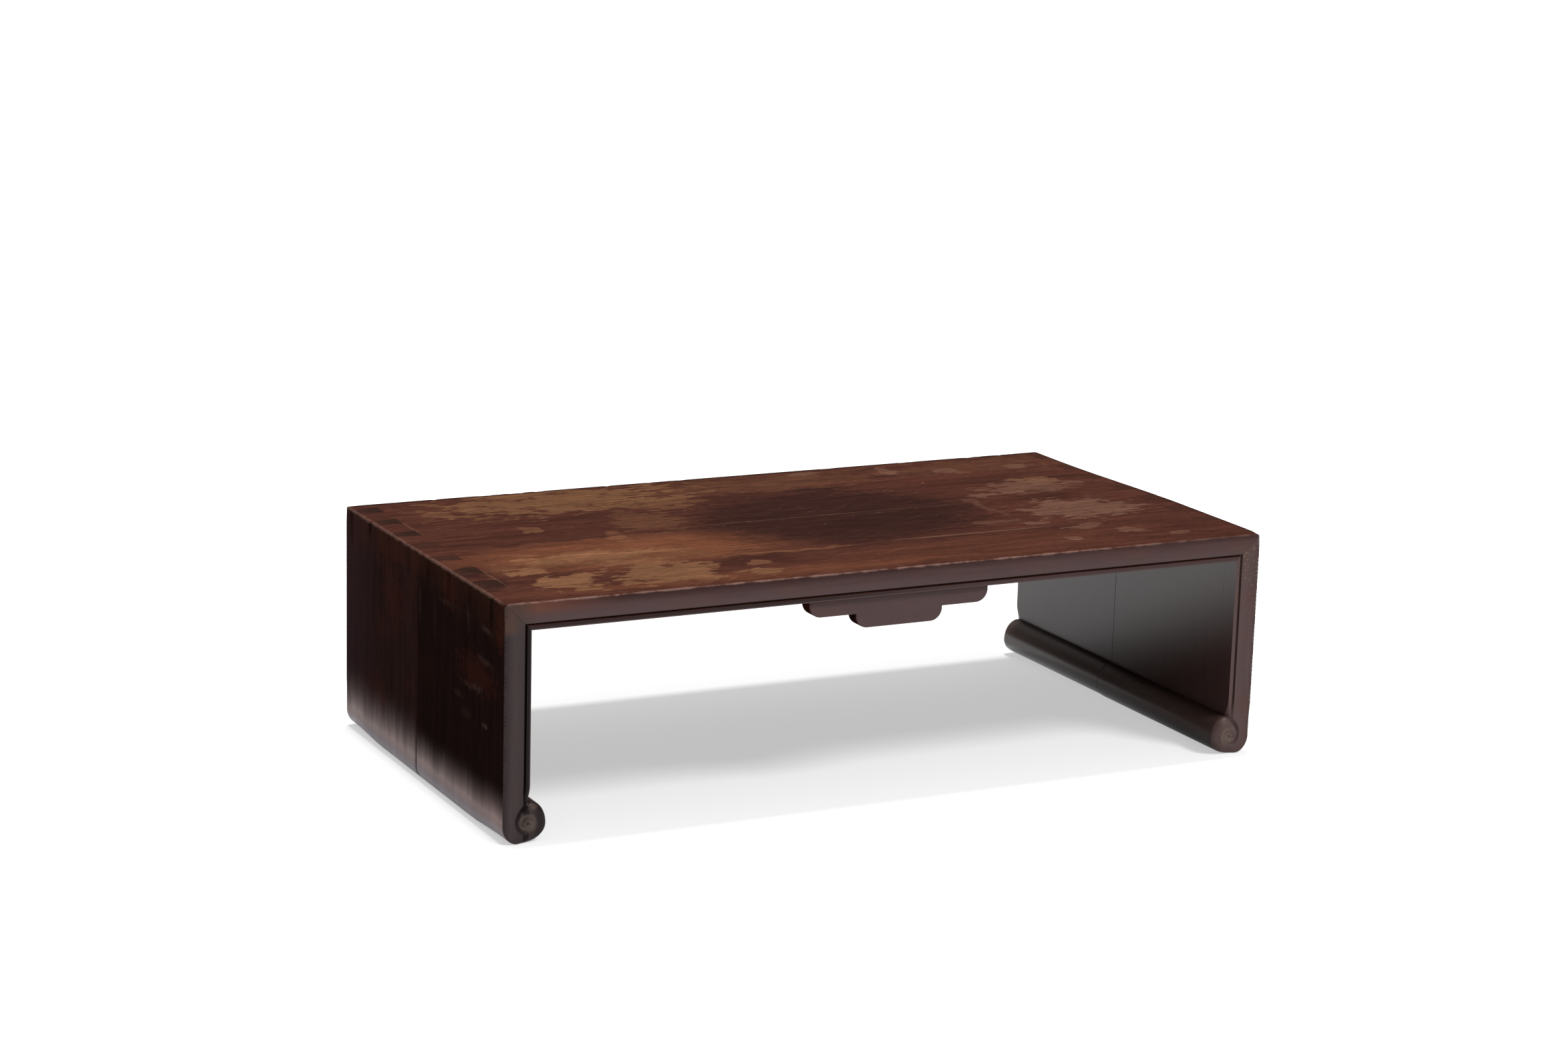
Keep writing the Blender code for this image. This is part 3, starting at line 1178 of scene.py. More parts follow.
    def build(self) -> bpy.types.Material:
        """Makes the material.

        Returns:
            The finished material.
        """
        material, add, place = self.begin()
        drift = add("ShaderNodeTexNoise", {"Vector": place, "Scale": 1 / 15, "Detail": 5.0}, output="Color")
        centred = add("ShaderNodeVectorMath", {0: drift, 1: (0.5, 0.5, 0.5)}, operation="SUBTRACT")
        moved = add("ShaderNodeVectorMath", {0: centred, 1: (26, 16, 0)}, operation="MULTIPLY")
        warped = add("ShaderNodeVectorMath", {0: place, 1: moved}, operation="ADD")
        crumbs = self.grain(add, place, Axis.X, 3.2, 1.8, 6.0)
        slight = add("ShaderNodeMapRange", {"Value": crumbs, "To Min": -0.3, "To Max": 0.3})
        chunks = self.grain(add, place, Axis.X, 5.0, 2.2, 5.0)
        broken = add("ShaderNodeMapRange", {"Value": chunks, "To Min": -1.5, "To Max": 1.5})
        strewn = add("ShaderNodeMapRange", {"Value": chunks, "To Min": -2.2, "To Max": 2.2})

        # Bands of fibres along X, a few millimetres wide
        bent = add("ShaderNodeVectorMath", {
            0: moved, 1: (0.25, 0.25, 0), 2: place,
        }, operation="MULTIPLY_ADD")
        wide = self.grain(add, bent, Axis.X, 5, 20, 4.0)
        banded = add("ShaderNodeMapRange", {
            "Value": wide, "From Min": 0.42, "From Max": 0.68, "To Max": 0.7,
        })
        # Short dark pores, in the wood about 0.2 mm wide, are drawn at 0.5 mm so that they show
        pores = self.grain(add, place, Axis.X, 0.5, 14, 1.0)
        pitted = add("ShaderNodeMapRange", {
            "Value": pores, "From Min": 0.6, "From Max": 0.72, "To Max": 0.6,
        })

        # Worn pale specks, and a painted shade line along the back and the right end
        cells = add("ShaderNodeTexVoronoi", {"Vector": warped, "Scale": 1 / 7})
        speck = add("ShaderNodeMapRange", {
            "Value": cells, "From Min": 0.13, "From Max": 0.05, "To Max": 0.35,
        })
        back = add("ShaderNodeSeparateXYZ", {0: place}, output="Y")
        right = add("ShaderNodeSeparateXYZ", {0: place}, output="X")
        behind = add("ShaderNodeMapRange", {
            "Value": back, "From Min": 98.5, "From Max": 103.0, "To Max": 0.85,
        })
        nearer = add("ShaderNodeMath", {0: back, 1: 0.03, 2: right}, operation="MULTIPLY_ADD")
        beside = add("ShaderNodeMapRange", {
            "Value": nearer, "From Min": 193.5, "From Max": 200.0, "To Max": 0.85,
        })
        painted_rim_shade = add("ShaderNodeMath", {0: behind, 1: beside}, operation="MAXIMUM")

        bare = self.blot(add, warped, broken, self.beiges, 0.1)
        colour = self.layered(add, self.base, (
            (banded, self.dark),
            (self.blot(add, warped, slight, self.oranges, 0.5), self.orange),
            (self.blot(add, warped, broken, self.ambers, 0.3), self.amber),
            (self.blot(add, warped, slight, self.browns, 0.4), self.dark),
            (self.blot(add, warped, strewn, self.ochres, 0.3), self.ochre),
            (self.blot(add, warped, slight, self.stains, 0.28), self.stain),
            (self.blot(add, place, broken, self.joints, 0.25), self.stain),
            (bare, self.beige),
            (self.blot(add, warped, broken, self.roses, 0.1), self.rosy),
            (speck, self.pale),
            (self.scratches(add, place), self.pale),
            (self.blot(add, place, slight, self.lines, 0.4), self.pale),
            (pitted, self.dark),
            (painted_rim_shade, self.darkening),
        ))
        tone = self.shading(add, place)
        colour = add("ShaderNodeVectorMath", {0: colour, "Scale": tone}, operation="SCALE")
        # The pale arris line is wear and a painted highlight
        bright = self.rubbed_arris_and_highlight(add, place, 1.1, 0.85)
        colour = add("ShaderNodeMix", {
            MIX_FACTOR: bright, MIX_A: colour, MIX_B: to_linear(self.arris_tone),
        }, MIX_RESULT, data_type="RGBA")
        rough = add("ShaderNodeMapRange", {"Value": bare, "To Min": 0.5, "To Max": 0.8})
        height = add("ShaderNodeMath", {0: tone, 1: crumbs}, operation="ADD")
        self.end(add, colour, rough, height)
        return material


@dataclass(frozen=True)
class HandledEdge(Finish):
    """Moulded edge grain, worn by hands to a mauve brown, with a pale arris, painted shade and floor
    reflection, and soiling and painted shade in the grooves.
    """

    # Edge grain closed by handling has a smooth, soft sheen; soiling and painted shade in the grooves draw
    # black lines
    name: str = "waxed_rosewood_handled_edge"
    coat_rough: float = 0.35
    base: str = "#574140"
    dark: str = "#493332"
    warm: str = "#5F3F36"
    bare: str = "#74473A"
    shade: str = "#3A2421"
    # Mauve of the round below the dark band, a painted floor reflection
    mauve: str = "#5D4B4A"
    bead: str = "#463535"
    bead_share: float = 0.8
    corner: str = "#4E3D37"
    dirt_and_shade: str = "#170D0C"
    pale: str = "#8C6E65"
    worn: str = "#6C574A"
    chip: str = "#8F6E52"
    chipped: float = 0.0
    darkening: float = 0.7
    darkening_low: float = 0.7
    wax: float = 0.25
    along: Axis = Axis.X

    def build(self) -> bpy.types.Material:
        """Makes the material.

        Returns:
            The finished material.
        """
        material, add, place = self.begin()
        wide = self.grain(add, place, self.along, 2.2, 16, 4.0)
        # Fine fibres are drawn 0.5 mm wide, coarser than in the wood, so that they show
        fine = self.grain(add, place, self.along, 0.5, 30, 2.0)
        cloud = add("ShaderNodeTexNoise", {"Vector": place, "Scale": 1 / 18, "Detail": 5.0})
        streaked = add("ShaderNodeMapRange", {
            "Value": wide, "From Min": 0.42, "From Max": 0.7, "To Max": 0.7,
        })
        warmth = add("ShaderNodeMapRange", {
            "Value": cloud, "From Min": 0.45, "From Max": 0.72, "To Max": 0.7,
        })

        # The profile: a painted shade band under the arris, narrower to the right, a painted floor
        # reflection on the round below it, and the bead
        side = add("ShaderNodeSeparateXYZ", {0: place}, output="X")
        up = add("ShaderNodeSeparateXYZ", {0: place}, output="Z")
        edge = self.from_arris(add, place)
        narrower = add("ShaderNodeMapRange", {
            "Value": side, "From Min": -50.0, "From Max": 100.0, "To Max": 1.1,
        })
        inset = add("ShaderNodeMath", {0: edge, 1: narrower}, operation="ADD")
        below = add("ShaderNodeMapRange", {
            "Value": inset, "From Min": 4.6, "From Max": 1.6, "To Max": 0.85,
        })
        painted_floor_reflection = add("ShaderNodeMapRange", {"Value": edge, "From Min": 4.0, "From Max": 9.0, "To Max": 0.6})
        past_groove = add("ShaderNodeMapRange", {
            "Value": edge, "From Min": 10.1, "From Max": 10.8, "To Max": self.bead_share,
        })
        on_board = add("ShaderNodeMath", {0: edge, 1: 13.2}, operation="LESS_THAN")
        beaded = add("ShaderNodeMath", {0: past_groove, 1: on_board}, operation="MULTIPLY")
        # Painted shade darkens the bead towards the left
        shadowed = add("ShaderNodeMapRange", {
            "Value": side, "From Min": 40.0, "From Max": -40.0, "To Max": 0.8,
        })
        dim_bead = add("ShaderNodeMath", {0: beaded, 1: shadowed}, operation="MULTIPLY")

        # Bare brown wood round the left corner, and chips in the polish high on the legs
        high = add("ShaderNodeMapRange", {"Value": up, "From Min": 97.0, "From Max": 103.0})
        by_left = add("ShaderNodeMapRange", {
            "Value": side, "From Min": -145.0, "From Max": -185.0, "To Max": 0.8,
        })
        outer = add("ShaderNodeMapRange", {"Value": edge, "From Min": 7.0, "From Max": 3.5})
        reddened = add("ShaderNodeMath", {0: by_left, 1: outer}, operation="MULTIPLY")
        reddish = add("ShaderNodeMath", {0: reddened, 1: high}, operation="MULTIPLY")
        at_end = add("ShaderNodeMapRange", {
            "Value": side, "From Min": -184.0, "From Max": -193.0, "To Max": 0.85,
        })
        cornered = add("ShaderNodeMath", {0: at_end, 1: high}, operation="MULTIPLY")
        flecks = add("ShaderNodeTexNoise", {"Vector": place, "Scale": 0.7, "Detail": 3.0})
        chips = add("ShaderNodeMapRange", {
            "Value": flecks, "From Min": 0.58, "From Max": 0.66, "To Max": self.chipped,
        })
        raised = add("ShaderNodeMapRange", {"Value": up, "From Min": 70.0, "From Max": 100.0})
        chipping = add("ShaderNodeMath", {0: chips, 1: raised}, operation="MULTIPLY")

        # Soiling and painted shade in the grooves, and worn places with a painted glint, both kept with the
        # mesh
        dirt_and_shade = add("ShaderNodeAttribute", output="Fac", attribute_name="dirt_and_shade")
        # How dark the soiling and painted shade are, from low to high
        darkening_by_height = add("ShaderNodeMapRange", {
            "Value": up,
            "From Min": 30.0,
            "From Max": 95.0,
            "To Min": self.darkening_low,
            "To Max": self.darkening,
        })
        soiling_and_shade = add("ShaderNodeMath", {0: dirt_and_shade, 1: darkening_by_height}, operation="MULTIPLY")
        rim = add("ShaderNodeAttribute", output="Fac", attribute_name="rub_and_painted_shine")
        # Lighter where worn, with a painted highlight at the glint
        lit = add("ShaderNodeMath", {0: rim, 1: 0.6}, operation="MULTIPLY")
        colour = self.layered(add, self.base, (
            (streaked, self.dark),
            (warmth, self.warm),
            (painted_floor_reflection, self.mauve),
            (below, self.shade),
            (reddish, self.bare),
            (cornered, self.corner),
            (beaded, self.bead),
            (dim_bead, self.dirt_and_shade),
            (lit, self.worn),
            (chipping, self.chip),
            (soiling_and_shade, self.dirt_and_shade),
            (self.rubbed_arris_and_highlight(add, place, 0.9, 0.85), self.pale),
        ))
        rough = add("ShaderNodeMapRange", {"Value": cloud, "To Min": 0.45, "To Max": 0.65})
        coat = add("ShaderNodeMapRange", {"Value": rim, "To Min": self.wax, "To Max": 0.7})
        self.end(add, colour, rough, fine, coat)
        return material


@dataclass(frozen=True)
class DarkSide(Finish):
    """Near-black waxed sides: dull and scuffed above, worn to a warm shine at the foot with a painted warm
    sheen, and a painted reflection along the sole.
    """

    # Dark wax hides most of the grain: the flat face looks matt and near black, the foot worn by hands
    # shines
    name: str = "dark_waxed_rosewood_side"
    specular: float = 0.0
    coat_rough: float = 0.28
    base: str = "#32211F"
    dark: str = "#241816"
    deep: str = "#120B0A"
    red: str = "#4E261D"
    redness: float = 0.3
    mauve: str = "#3C2C31"
    # A warmer, lighter colour under the shine: a painted sheen
    rub_and_painted_shine: str = "#7A4A42"
    painted_shine_share: float = 1.0
    # A bluish band along the sole, painted floor reflection
    sole: str = "#52465A"
    sole_share: float = 0.75
    pale: str = "#5E4E46"
    arris_tone: str = "#8C6B60"
    end_grain: str = "#47291F"
    strip: str = "#130B0A"
    pitch: float = 26.1
    reds: tuple[Patch, ...] = (
        Patch(36, 82, 14, 12, 0.25),
        Patch(-70, 72, 20, 8, 0.3),
        Patch(-36, 103, 8, 6, 0.25),
        Patch(32, 105, 12, 5, 0.25),
        Patch(-98, 100, 4, 10, 0.35),
    )
    scuffs: tuple[Patch, ...] = (
        Patch(1, 89, 1.4, 6, 0.12),
        Patch(-18, 87, 1.2, 7, 0.1),
        Patch(-34, 96, 8, 1.0, 0.1),
        Patch(-60, 95, 1.6, 5, 0.15),
        Patch(-83, 95, 5, 1.2, 0.22),
        Patch(-80, 80, 6, 1.4, 0.15),
        Patch(-72, 65, 5, 1.4, 0.22),
        Patch(-59, 64, 5, 1.0, 0.15),
        Patch(-48, 57, 5, 1.4, 0.12),
        Patch(-81, 50, 3, 1.0, 0.4),
        Patch(-58, 50, 5, 2.0, 0.1),
    )

    def polish(self, add: AddNode, place: bpy.types.NodeSocket) -> bpy.types.NodeSocket:
        """Adds the mask of the polished places: the foot, reaching further up on the rear board.

        Args:
            add: Function that adds nodes.
            place: Position in millimetres.

        Returns:
            Amount of polished wax.
        """
        up = add("ShaderNodeSeparateXYZ", {0: place}, output="Z")
        back = add("ShaderNodeSeparateXYZ", {0: place}, output="Y")
        rear = add("ShaderNodeMapRange", {"Value": back, "From Min": 4.0, "From Max": 7.0})
        streaks = self.grain(add, place, Axis.Z, 8.0, 7, 2.0)
        sway = add("ShaderNodeMapRange", {"Value": rear, "To Min": 5.0, "To Max": 9.0})
        ragged = add("ShaderNodeMath", {0: streaks, 1: -0.5}, operation="ADD")
        shifted = add("ShaderNodeMath", {0: ragged, 1: sway, 2: up}, operation="MULTIPLY_ADD")
        over = add("ShaderNodeMath", {0: shifted, 1: -11.0}, operation="ADD")
        reach = add("ShaderNodeMapRange", {"Value": rear, "To Min": 19.0, "To Max": 30.0})
        fallen = add("ShaderNodeMath", {0: over, 1: reach}, operation="DIVIDE")
        left = add("ShaderNodeMapRange", {"Value": fallen, "From Min": 1.0, "From Max": 0.0})
        power = add("ShaderNodeMapRange", {"Value": rear, "To Min": 3.1, "To Max": 4.0})
        shine = add("ShaderNodeMath", {0: left, 1: power}, operation="POWER")
        aside = add("ShaderNodeMath", {0: back, 1: -6.0}, operation="ADD")
        from_seam = add("ShaderNodeMath", {0: aside}, operation="ABSOLUTE")
        level = add("ShaderNodeMapRange", {
            "Value": from_seam, "From Min": 0.5, "From Max": 2.2, "To Min": 0.35, "To Max": 0.8,
        })
        brushed = add("ShaderNodeMapRange", {
            "Value": streaks, "From Min": 0.3, "From Max": 0.7, "To Min": 1.12, "To Max": 0.88,
        })
        uneven = add("ShaderNodeMath", {0: shine, 1: brushed}, operation="MULTIPLY")
        return add("ShaderNodeMath", {0: uneven, 1: level}, operation="MULTIPLY")

    def marks(
        self, add: AddNode, place: bpy.types.NodeSocket, cloud: bpy.types.NodeSocket
    ) -> list[tuple[bpy.types.NodeSocket, str]]:
        """Adds the darker front board, the end grain by the joints, reddish places and scuffs.

        Args:
            add: Function that adds nodes.
            place: Position in millimetres.
            cloud: Broad soft clouds.

        Returns:
            Mask and hex code of each layer.
        """
        up = add("ShaderNodeSeparateXYZ", {0: place}, output="Z")
        back = add("ShaderNodeSeparateXYZ", {0: place}, output="Y")
        side = add("ShaderNodeSeparateXYZ", {0: place}, output="X")
        darker = add("ShaderNodeMapRange", {"Value": back, "From Min": 6.0, "From Max": 3.0, "To Max": 0.6})
        hazy = add("ShaderNodeMapRange", {
            "Value": back, "From Min": 55.0, "From Max": 104.0, "To Max": 0.6,
        })
        uneven = add("ShaderNodeMath", {0: cloud, 1: 26.0, 2: up}, operation="MULTIPLY_ADD")
        upper = add("ShaderNodeMapRange", {
            "Value": uneven, "From Min": 106.0, "From Max": 124.0, "To Max": 0.45,
        })
        joint = add("ShaderNodeMapRange", {
            "Value": uneven, "From Min": 109.0, "From Max": 117.0, "To Max": 0.7,
        })

        # Dark strips between the joints, fainter at some than at others
        steps = add("ShaderNodeMath", {
            0: back, 1: 1 / self.pitch, 2: 0.5 - 69 / self.pitch,
        }, operation="MULTIPLY_ADD")
        part = add("ShaderNodeMath", {0: steps}, operation="FRACT")
        off = add("ShaderNodeMath", {0: part, 1: 0.5}, operation="SUBTRACT")
        apart = add("ShaderNodeMath", {0: off}, operation="ABSOLUTE")
        narrow = add("ShaderNodeMapRange", {"Value": apart, "From Min": 0.12, "From Max": 0.04})
        strips = add("ShaderNodeMath", {0: narrow, 1: joint}, operation="MULTIPLY")
        slow = add("ShaderNodeTexNoise", {"Vector": place, "Scale": 1 / 24, "Detail": 1.0})
        some = add("ShaderNodeMapRange", {"Value": slow, "From Min": 0.38, "From Max": 0.6, "To Min": 0.25})
        faint = add("ShaderNodeMath", {0: strips, 1: some}, operation="MULTIPLY")

        # Reddish places and scuffs, shifted on the right side so that the two sides differ
        right = add("ShaderNodeMath", {0: side, 1: 0.0}, operation="GREATER_THAN")
        shifted = add("ShaderNodeMath", {0: right, 1: 37.0, 2: back}, operation="MULTIPLY_ADD")
        face = add("ShaderNodeCombineXYZ", {0: shifted, 1: up})
        crumbs = self.grain(add, place, Axis.Z, 2.6, 1.5, 4.0)
        ragged = add("ShaderNodeMapRange", {"Value": crumbs, "To Min": -2.0, "To Max": 2.0})
        return [
            (darker, self.deep),
            (hazy, self.mauve),
            (upper, self.end_grain),
            (faint, self.strip),
            (self.blot(add, face, ragged, self.reds, 0.5), self.red),
            (self.blot(add, face, ragged, self.scuffs, 0.9), self.pale),
        ]

    def build(self) -> bpy.types.Material:
        """Makes the material.

        Returns:
            The finished material.
        """
        material, add, place = self.begin()
        wide = self.grain(add, place, Axis.Z, 5.0, 12, 3.0)
        # Fine fibres are drawn 0.7 mm wide, coarser than in the wood, so that they show
        fine = self.grain(add, place, Axis.Z, 0.7, 40, 3.0)
        cloud = add("ShaderNodeTexNoise", {"Vector": place, "Scale": 1 / 16, "Detail": 6.0})
        streaked = add("ShaderNodeMapRange", {
            "Value": wide, "From Min": 0.38, "From Max": 0.68, "To Max": 0.85,
        })
        reddish = add("ShaderNodeMapRange", {
            "Value": cloud, "From Min": 0.54, "From Max": 0.78, "To Max": self.redness,
        })
        shine = self.polish(add, place)
        # Painted warm sheen under the polish
        warm = add("ShaderNodeMath", {0: shine, 1: self.painted_shine_share}, operation="MULTIPLY")
        up = add("ShaderNodeSeparateXYZ", {0: place}, output="Z")
        # Painted band along the sole: floor reflection on the outer faces, shade on the inner ones
        sole = add("ShaderNodeMapRange", {
            "Value": up, "From Min": 9.0, "From Max": 5.5, "To Max": self.sole_share,
        })
        colour = self.layered(add, self.base, (
            (streaked, self.dark),
            (reddish, self.red),
            *self.marks(add, place, cloud),
            (warm, self.rub_and_painted_shine),
            (sole, self.sole),
            (self.rubbed_arris_and_highlight(add, place, 1.3, 0.85), self.arris_tone),
        ))
        rough = add("ShaderNodeMapRange", {"Value": cloud, "To Min": 0.6, "To Max": 0.85})
        self.end(add, colour, rough, fine, shine)
        return material


@dataclass(frozen=True)
class InnerSide(DarkSide):
    """Inner faces and rolls: the same dark wood, polished most at the back and towards the top."""

    # The same wax, less knocked about: an even dark face whose soft sheen grows upward and to the back
    name: str = "dark_polished_rosewood_inside"
    base: str = "#3F2C29"
    dark: str = "#3A2826"
    redness: float = 0.15
    # A mauve painted sheen under the polish
    rub_and_painted_shine: str = "#4A3A3C"
    painted_shine_share: float = 0.3
    # Painted shade low on the rolls
    sole: str = "#140D0C"
    sole_share: float = 0.6
    # The rolls' lighter colour is a painted highlight, strongest at the back
    roll: str = "#7D695F"
    crack: str = "#0C0706"

    def polish(self, add: AddNode, place: bpy.types.NodeSocket) -> bpy.types.NodeSocket:
        """Adds the mask of the polished places: more to the back and the top, and the rolls.

        Args:
            add: Function that adds nodes.
            place: Position in millimetres.

        Returns:
            Amount of polished wax.
        """
        lean = add("ShaderNodeVectorMath", {0: place, 1: (0, 0.45, 1)}, "Value", operation="DOT_PRODUCT")
        face = add("ShaderNodeMapRange", {
            "Value": lean, "From Min": -2.0, "From Max": 56.0, "To Min": 0.05, "To Max": 0.95,
        }, interpolation_type="SMOOTHSTEP")
        up = add("ShaderNodeSeparateXYZ", {0: place}, output="Z")
        back = add("ShaderNodeSeparateXYZ", {0: place}, output="Y")
        level = add("ShaderNodeMapRange", {
            "Value": back, "From Min": -80.0, "From Max": 60.0, "To Min": 0.3, "To Max": 1.0,
        })
        roll = add("ShaderNodeMapRange", {"Value": up, "From Min": 19.6, "From Max": 18.6})
        rolled = add("ShaderNodeMath", {0: level, 1: roll}, operation="MULTIPLY")
        return add("ShaderNodeMath", {0: face, 1: rolled}, operation="MAXIMUM")

    def marks(
        self, add: AddNode, place: bpy.types.NodeSocket, cloud: bpy.types.NodeSocket
    ) -> list[tuple[bpy.types.NodeSocket, str]]:
        """Adds the rolls' painted highlight, stronger at the back, painted shade beneath them, and the
        short crack beside the front edge.

        Args:
            add: Function that adds nodes.
            place: Position in millimetres.
            cloud: Broad soft clouds.

        Returns:
            Mask and hex code of each layer.
        """
        back = add("ShaderNodeSeparateXYZ", {0: place}, output="Y")
        up = add("ShaderNodeSeparateXYZ", {0: place}, output="Z")
        wavy = add("ShaderNodeMath", {0: cloud, 1: 3.0, 2: back}, operation="MULTIPLY_ADD")
        line = add("ShaderNodeMath", {0: wavy, 1: -91.5, 2: 0.45}, operation="COMPARE")
        part = add("ShaderNodeMath", {0: up, 1: 88.0, 2: 7.5}, operation="COMPARE")
        split = add("ShaderNodeMath", {0: line, 1: part}, operation="MULTIPLY")
        # Painted highlight on the rolls, stronger to the back, and painted shade under them
        rolled = add("ShaderNodeMapRange", {"Value": up, "From Min": 20.5, "From Max": 17.5})
        share = add("ShaderNodeMapRange", {
            "Value": back, "From Min": -90.0, "From Max": 60.0, "To Min": 0.2, "To Max": 0.9,
        })
        lighter = add("ShaderNodeMath", {0: rolled, 1: share}, operation="MULTIPLY")
        under = add("ShaderNodeMapRange", {"Value": up, "From Min": 12.0, "From Max": 6.0, "To Max": 0.85})
        return [(lighter, self.roll), (under, self.deep), (split, self.crack)]


@dataclass(frozen=True)
class PinEnd(Finish):
    """End grain of the dovetail pins in the top face: dark by the shoulder, worn brown by the arris."""

    # End grain soaks up wax, so the pins look darker and duller than the face round them
    name: str = "waxed_rosewood_pin_end_grain"
    base: str = "#36231D"
    worn: str = "#4A2D24"
    arris_tone: str = "#8C6B60"

    def build(self) -> bpy.types.Material:
        """Makes the material.

        Returns:
            The finished material.
        """
        material, add, place = self.begin()
        rings = self.grain(add, place, Axis.Y, 0.8, 8, 4.0)
        cloud = add("ShaderNodeTexNoise", {"Vector": place, "Scale": 1 / 10, "Detail": 4.0})
        left = add("ShaderNodeSeparateXYZ", {0: place}, output="X")
        blurred = add("ShaderNodeMath", {0: cloud, 1: 10.0, 2: left}, operation="MULTIPLY_ADD")
        faded = add("ShaderNodeMapRange", {
            "Value": blurred, "From Min": -188.0, "From Max": -197.0, "To Max": 0.9,
        })
        right = add("ShaderNodeMath", {0: left, 1: 0.0}, operation="GREATER_THAN")
        gone = add("ShaderNodeMath", {0: faded, 1: right}, operation="MAXIMUM")
        middle = add("ShaderNodeSeparateXYZ", {0: place}, output="Y")
        off = add("ShaderNodeMath", {0: middle}, operation="ABSOLUTE")
        faint = add("ShaderNodeMapRange", {"Value": off, "From Min": 32.0, "From Max": 16.0, "To Max": 0.8})
        thin = add("ShaderNodeMath", {0: gone, 1: faint}, operation="MAXIMUM")
        streaked = add("ShaderNodeMapRange", {
            "Value": rings, "From Min": 0.45, "From Max": 0.7, "To Max": 0.5,
        })
        colour = self.layered(add, self.base, (
            (thin, self.worn),
            (streaked, self.base),
            (self.rubbed_arris_and_highlight(add, place, 1.1, 0.85), self.arris_tone),
        ))
        rough = add("ShaderNodeMapRange", {"Value": rings, "To Min": 0.6, "To Max": 0.8})
        self.end(add, colour, rough, rings)
        return material


@dataclass(frozen=True)
class Bamboo(Finish):
    """Split and shaved bamboo, left bare."""

    # Bamboo without wax looks pale and dry, with fine straight fibres
    name: str = "bare_shaved_bamboo"
    specular: float = 0.3
    base: str = "#AD8F62"
    dark: str = "#8C6C42"

    def build(self) -> bpy.types.Material:
        """Makes the material.

        Returns:
            The finished material.
        """
        material, add, place = self.begin()
        fibre = self.grain(add, place, Axis.Y, 0.25, 40, 2.0)
        colour = add("ShaderNodeMix", {
            MIX_FACTOR: fibre, MIX_A: to_linear(self.base), MIX_B: to_linear(self.dark),
        }, MIX_RESULT, data_type="RGBA")
        rough = add("ShaderNodeMapRange", {"Value": fibre, "To Min": 0.5, "To Max": 0.7})
        self.end(add, colour, rough, fibre)
        return material


@dataclass(frozen=True)
class Finishes:
    """The materials of the stand, made once and shared by its boards."""

    top: bpy.types.Material = field(default_factory=lambda: WornTop().build())
    top_edge: bpy.types.Material = field(default_factory=lambda: HandledEdge().build())
    # The left leg's edge is a darker copy in painted shade, with a black bead and darker grooves
    left_edge: bpy.types.Material = field(default_factory=lambda: HandledEdge(
        "waxed_rosewood_leg_edge_in_painted_shade", base="#4A3F40", dark="#3F3435", warm="#4B3B38", shade="#352A2A",
        mauve="#3B3031", bead="#120A09", bead_share=0.9, darkening=0.95, darkening_low=0.9, along=Axis.Z,
    ).build())
    right_edge: bpy.types.Material = field(default_factory=lambda: HandledEdge(
        "waxed_rosewood_handled_leg_edge", base="#5E4B4A", dark="#50403F", shade="#4A3634", mauve="#655352",
        bead="#5E4B48", bead_share=0.6, chipped=0.7, darkening=0.45, darkening_low=0.3, along=Axis.Z,
    ).build())
    outer: bpy.types.Material = field(default_factory=lambda: DarkSide().build())
    inner: bpy.types.Material = field(default_factory=lambda: InnerSide().build())
    pin: bpy.types.Material = field(default_factory=lambda: PinEnd().build())
    bamboo: bpy.types.Material = field(default_factory=lambda: Bamboo().build())


@dataclass
class Board:
    """A board of the stand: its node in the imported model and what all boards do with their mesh."""

    node: str
    slot: str
    finishes: Finishes

    def dress(
        self, piece: bpy.types.Object, zones: np.ndarray, materials: Sequence[bpy.types.Material]
    ) -> None:
        """Gives a finished mesh its materials, shading and place in the frame.

        Args:
            piece: The board's object.
            zones: Material index of each face.
            materials: Materials in the order of their index.
        """
        mesh = piece.data
        mesh.materials.clear()
        for material in materials:
            mesh.materials.append(material)
        mesh.polygons.foreach_set("material_index", zones.astype(np.int32))
        mesh.shade_smooth()
        mesh.set_sharp_from_angle(angle=SHARP_ANGLE)
        weighted = piece.modifiers.new("flat_faces", "WEIGHTED_NORMAL")
        weighted.keep_sharp = True
        weighted.weight = 70
        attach(piece, "root")
        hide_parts(self.node)
        LOG.info("%s: %d faces", piece.name, len(mesh.polygons))

    def faces_of(self, piece: bpy.types.Object) -> tuple[np.ndarray, np.ndarray]:
        """Reads where the faces lie and where they look.

        Args:
            piece: The board's object.

        Returns:
            Middles and normals, one row for each face.
        """
        count = len(piece.data.polygons)
        middles, normals = np.empty(count * 3), np.empty(count * 3)
        piece.data.polygons.foreach_get("center", middles)
        piece.data.polygons.foreach_get("normal", normals)
        return middles.reshape(-1, 3), normals.reshape(-1, 3)

    def pin_holes(self, prefix: str) -> list[tuple[list, list]]:
        """Solids that make room for the bamboo pins.

        Args:
            prefix: Start of the pins' node names.

        Returns:
            One round prism for each pin.
        """
        solids = []
        for name in sorted(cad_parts):
            if not name.startswith(prefix):
                continue
            low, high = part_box(name)
            r = (high.x - low.x) / 2 + 0.1 * MM
            along = Axis.Z if "peg" in name else Axis.Y
            middle = (low + high) / 2
            flat = (middle.x, middle.y) if along is Axis.Z else (middle.x, middle.z)
            ring = arc(flat, (r, r), 0, 345, 24)
            solids.append(prism(ring, low[along] - 0.2 * MM, high[along] + 0.2 * MM, along))
        return solids


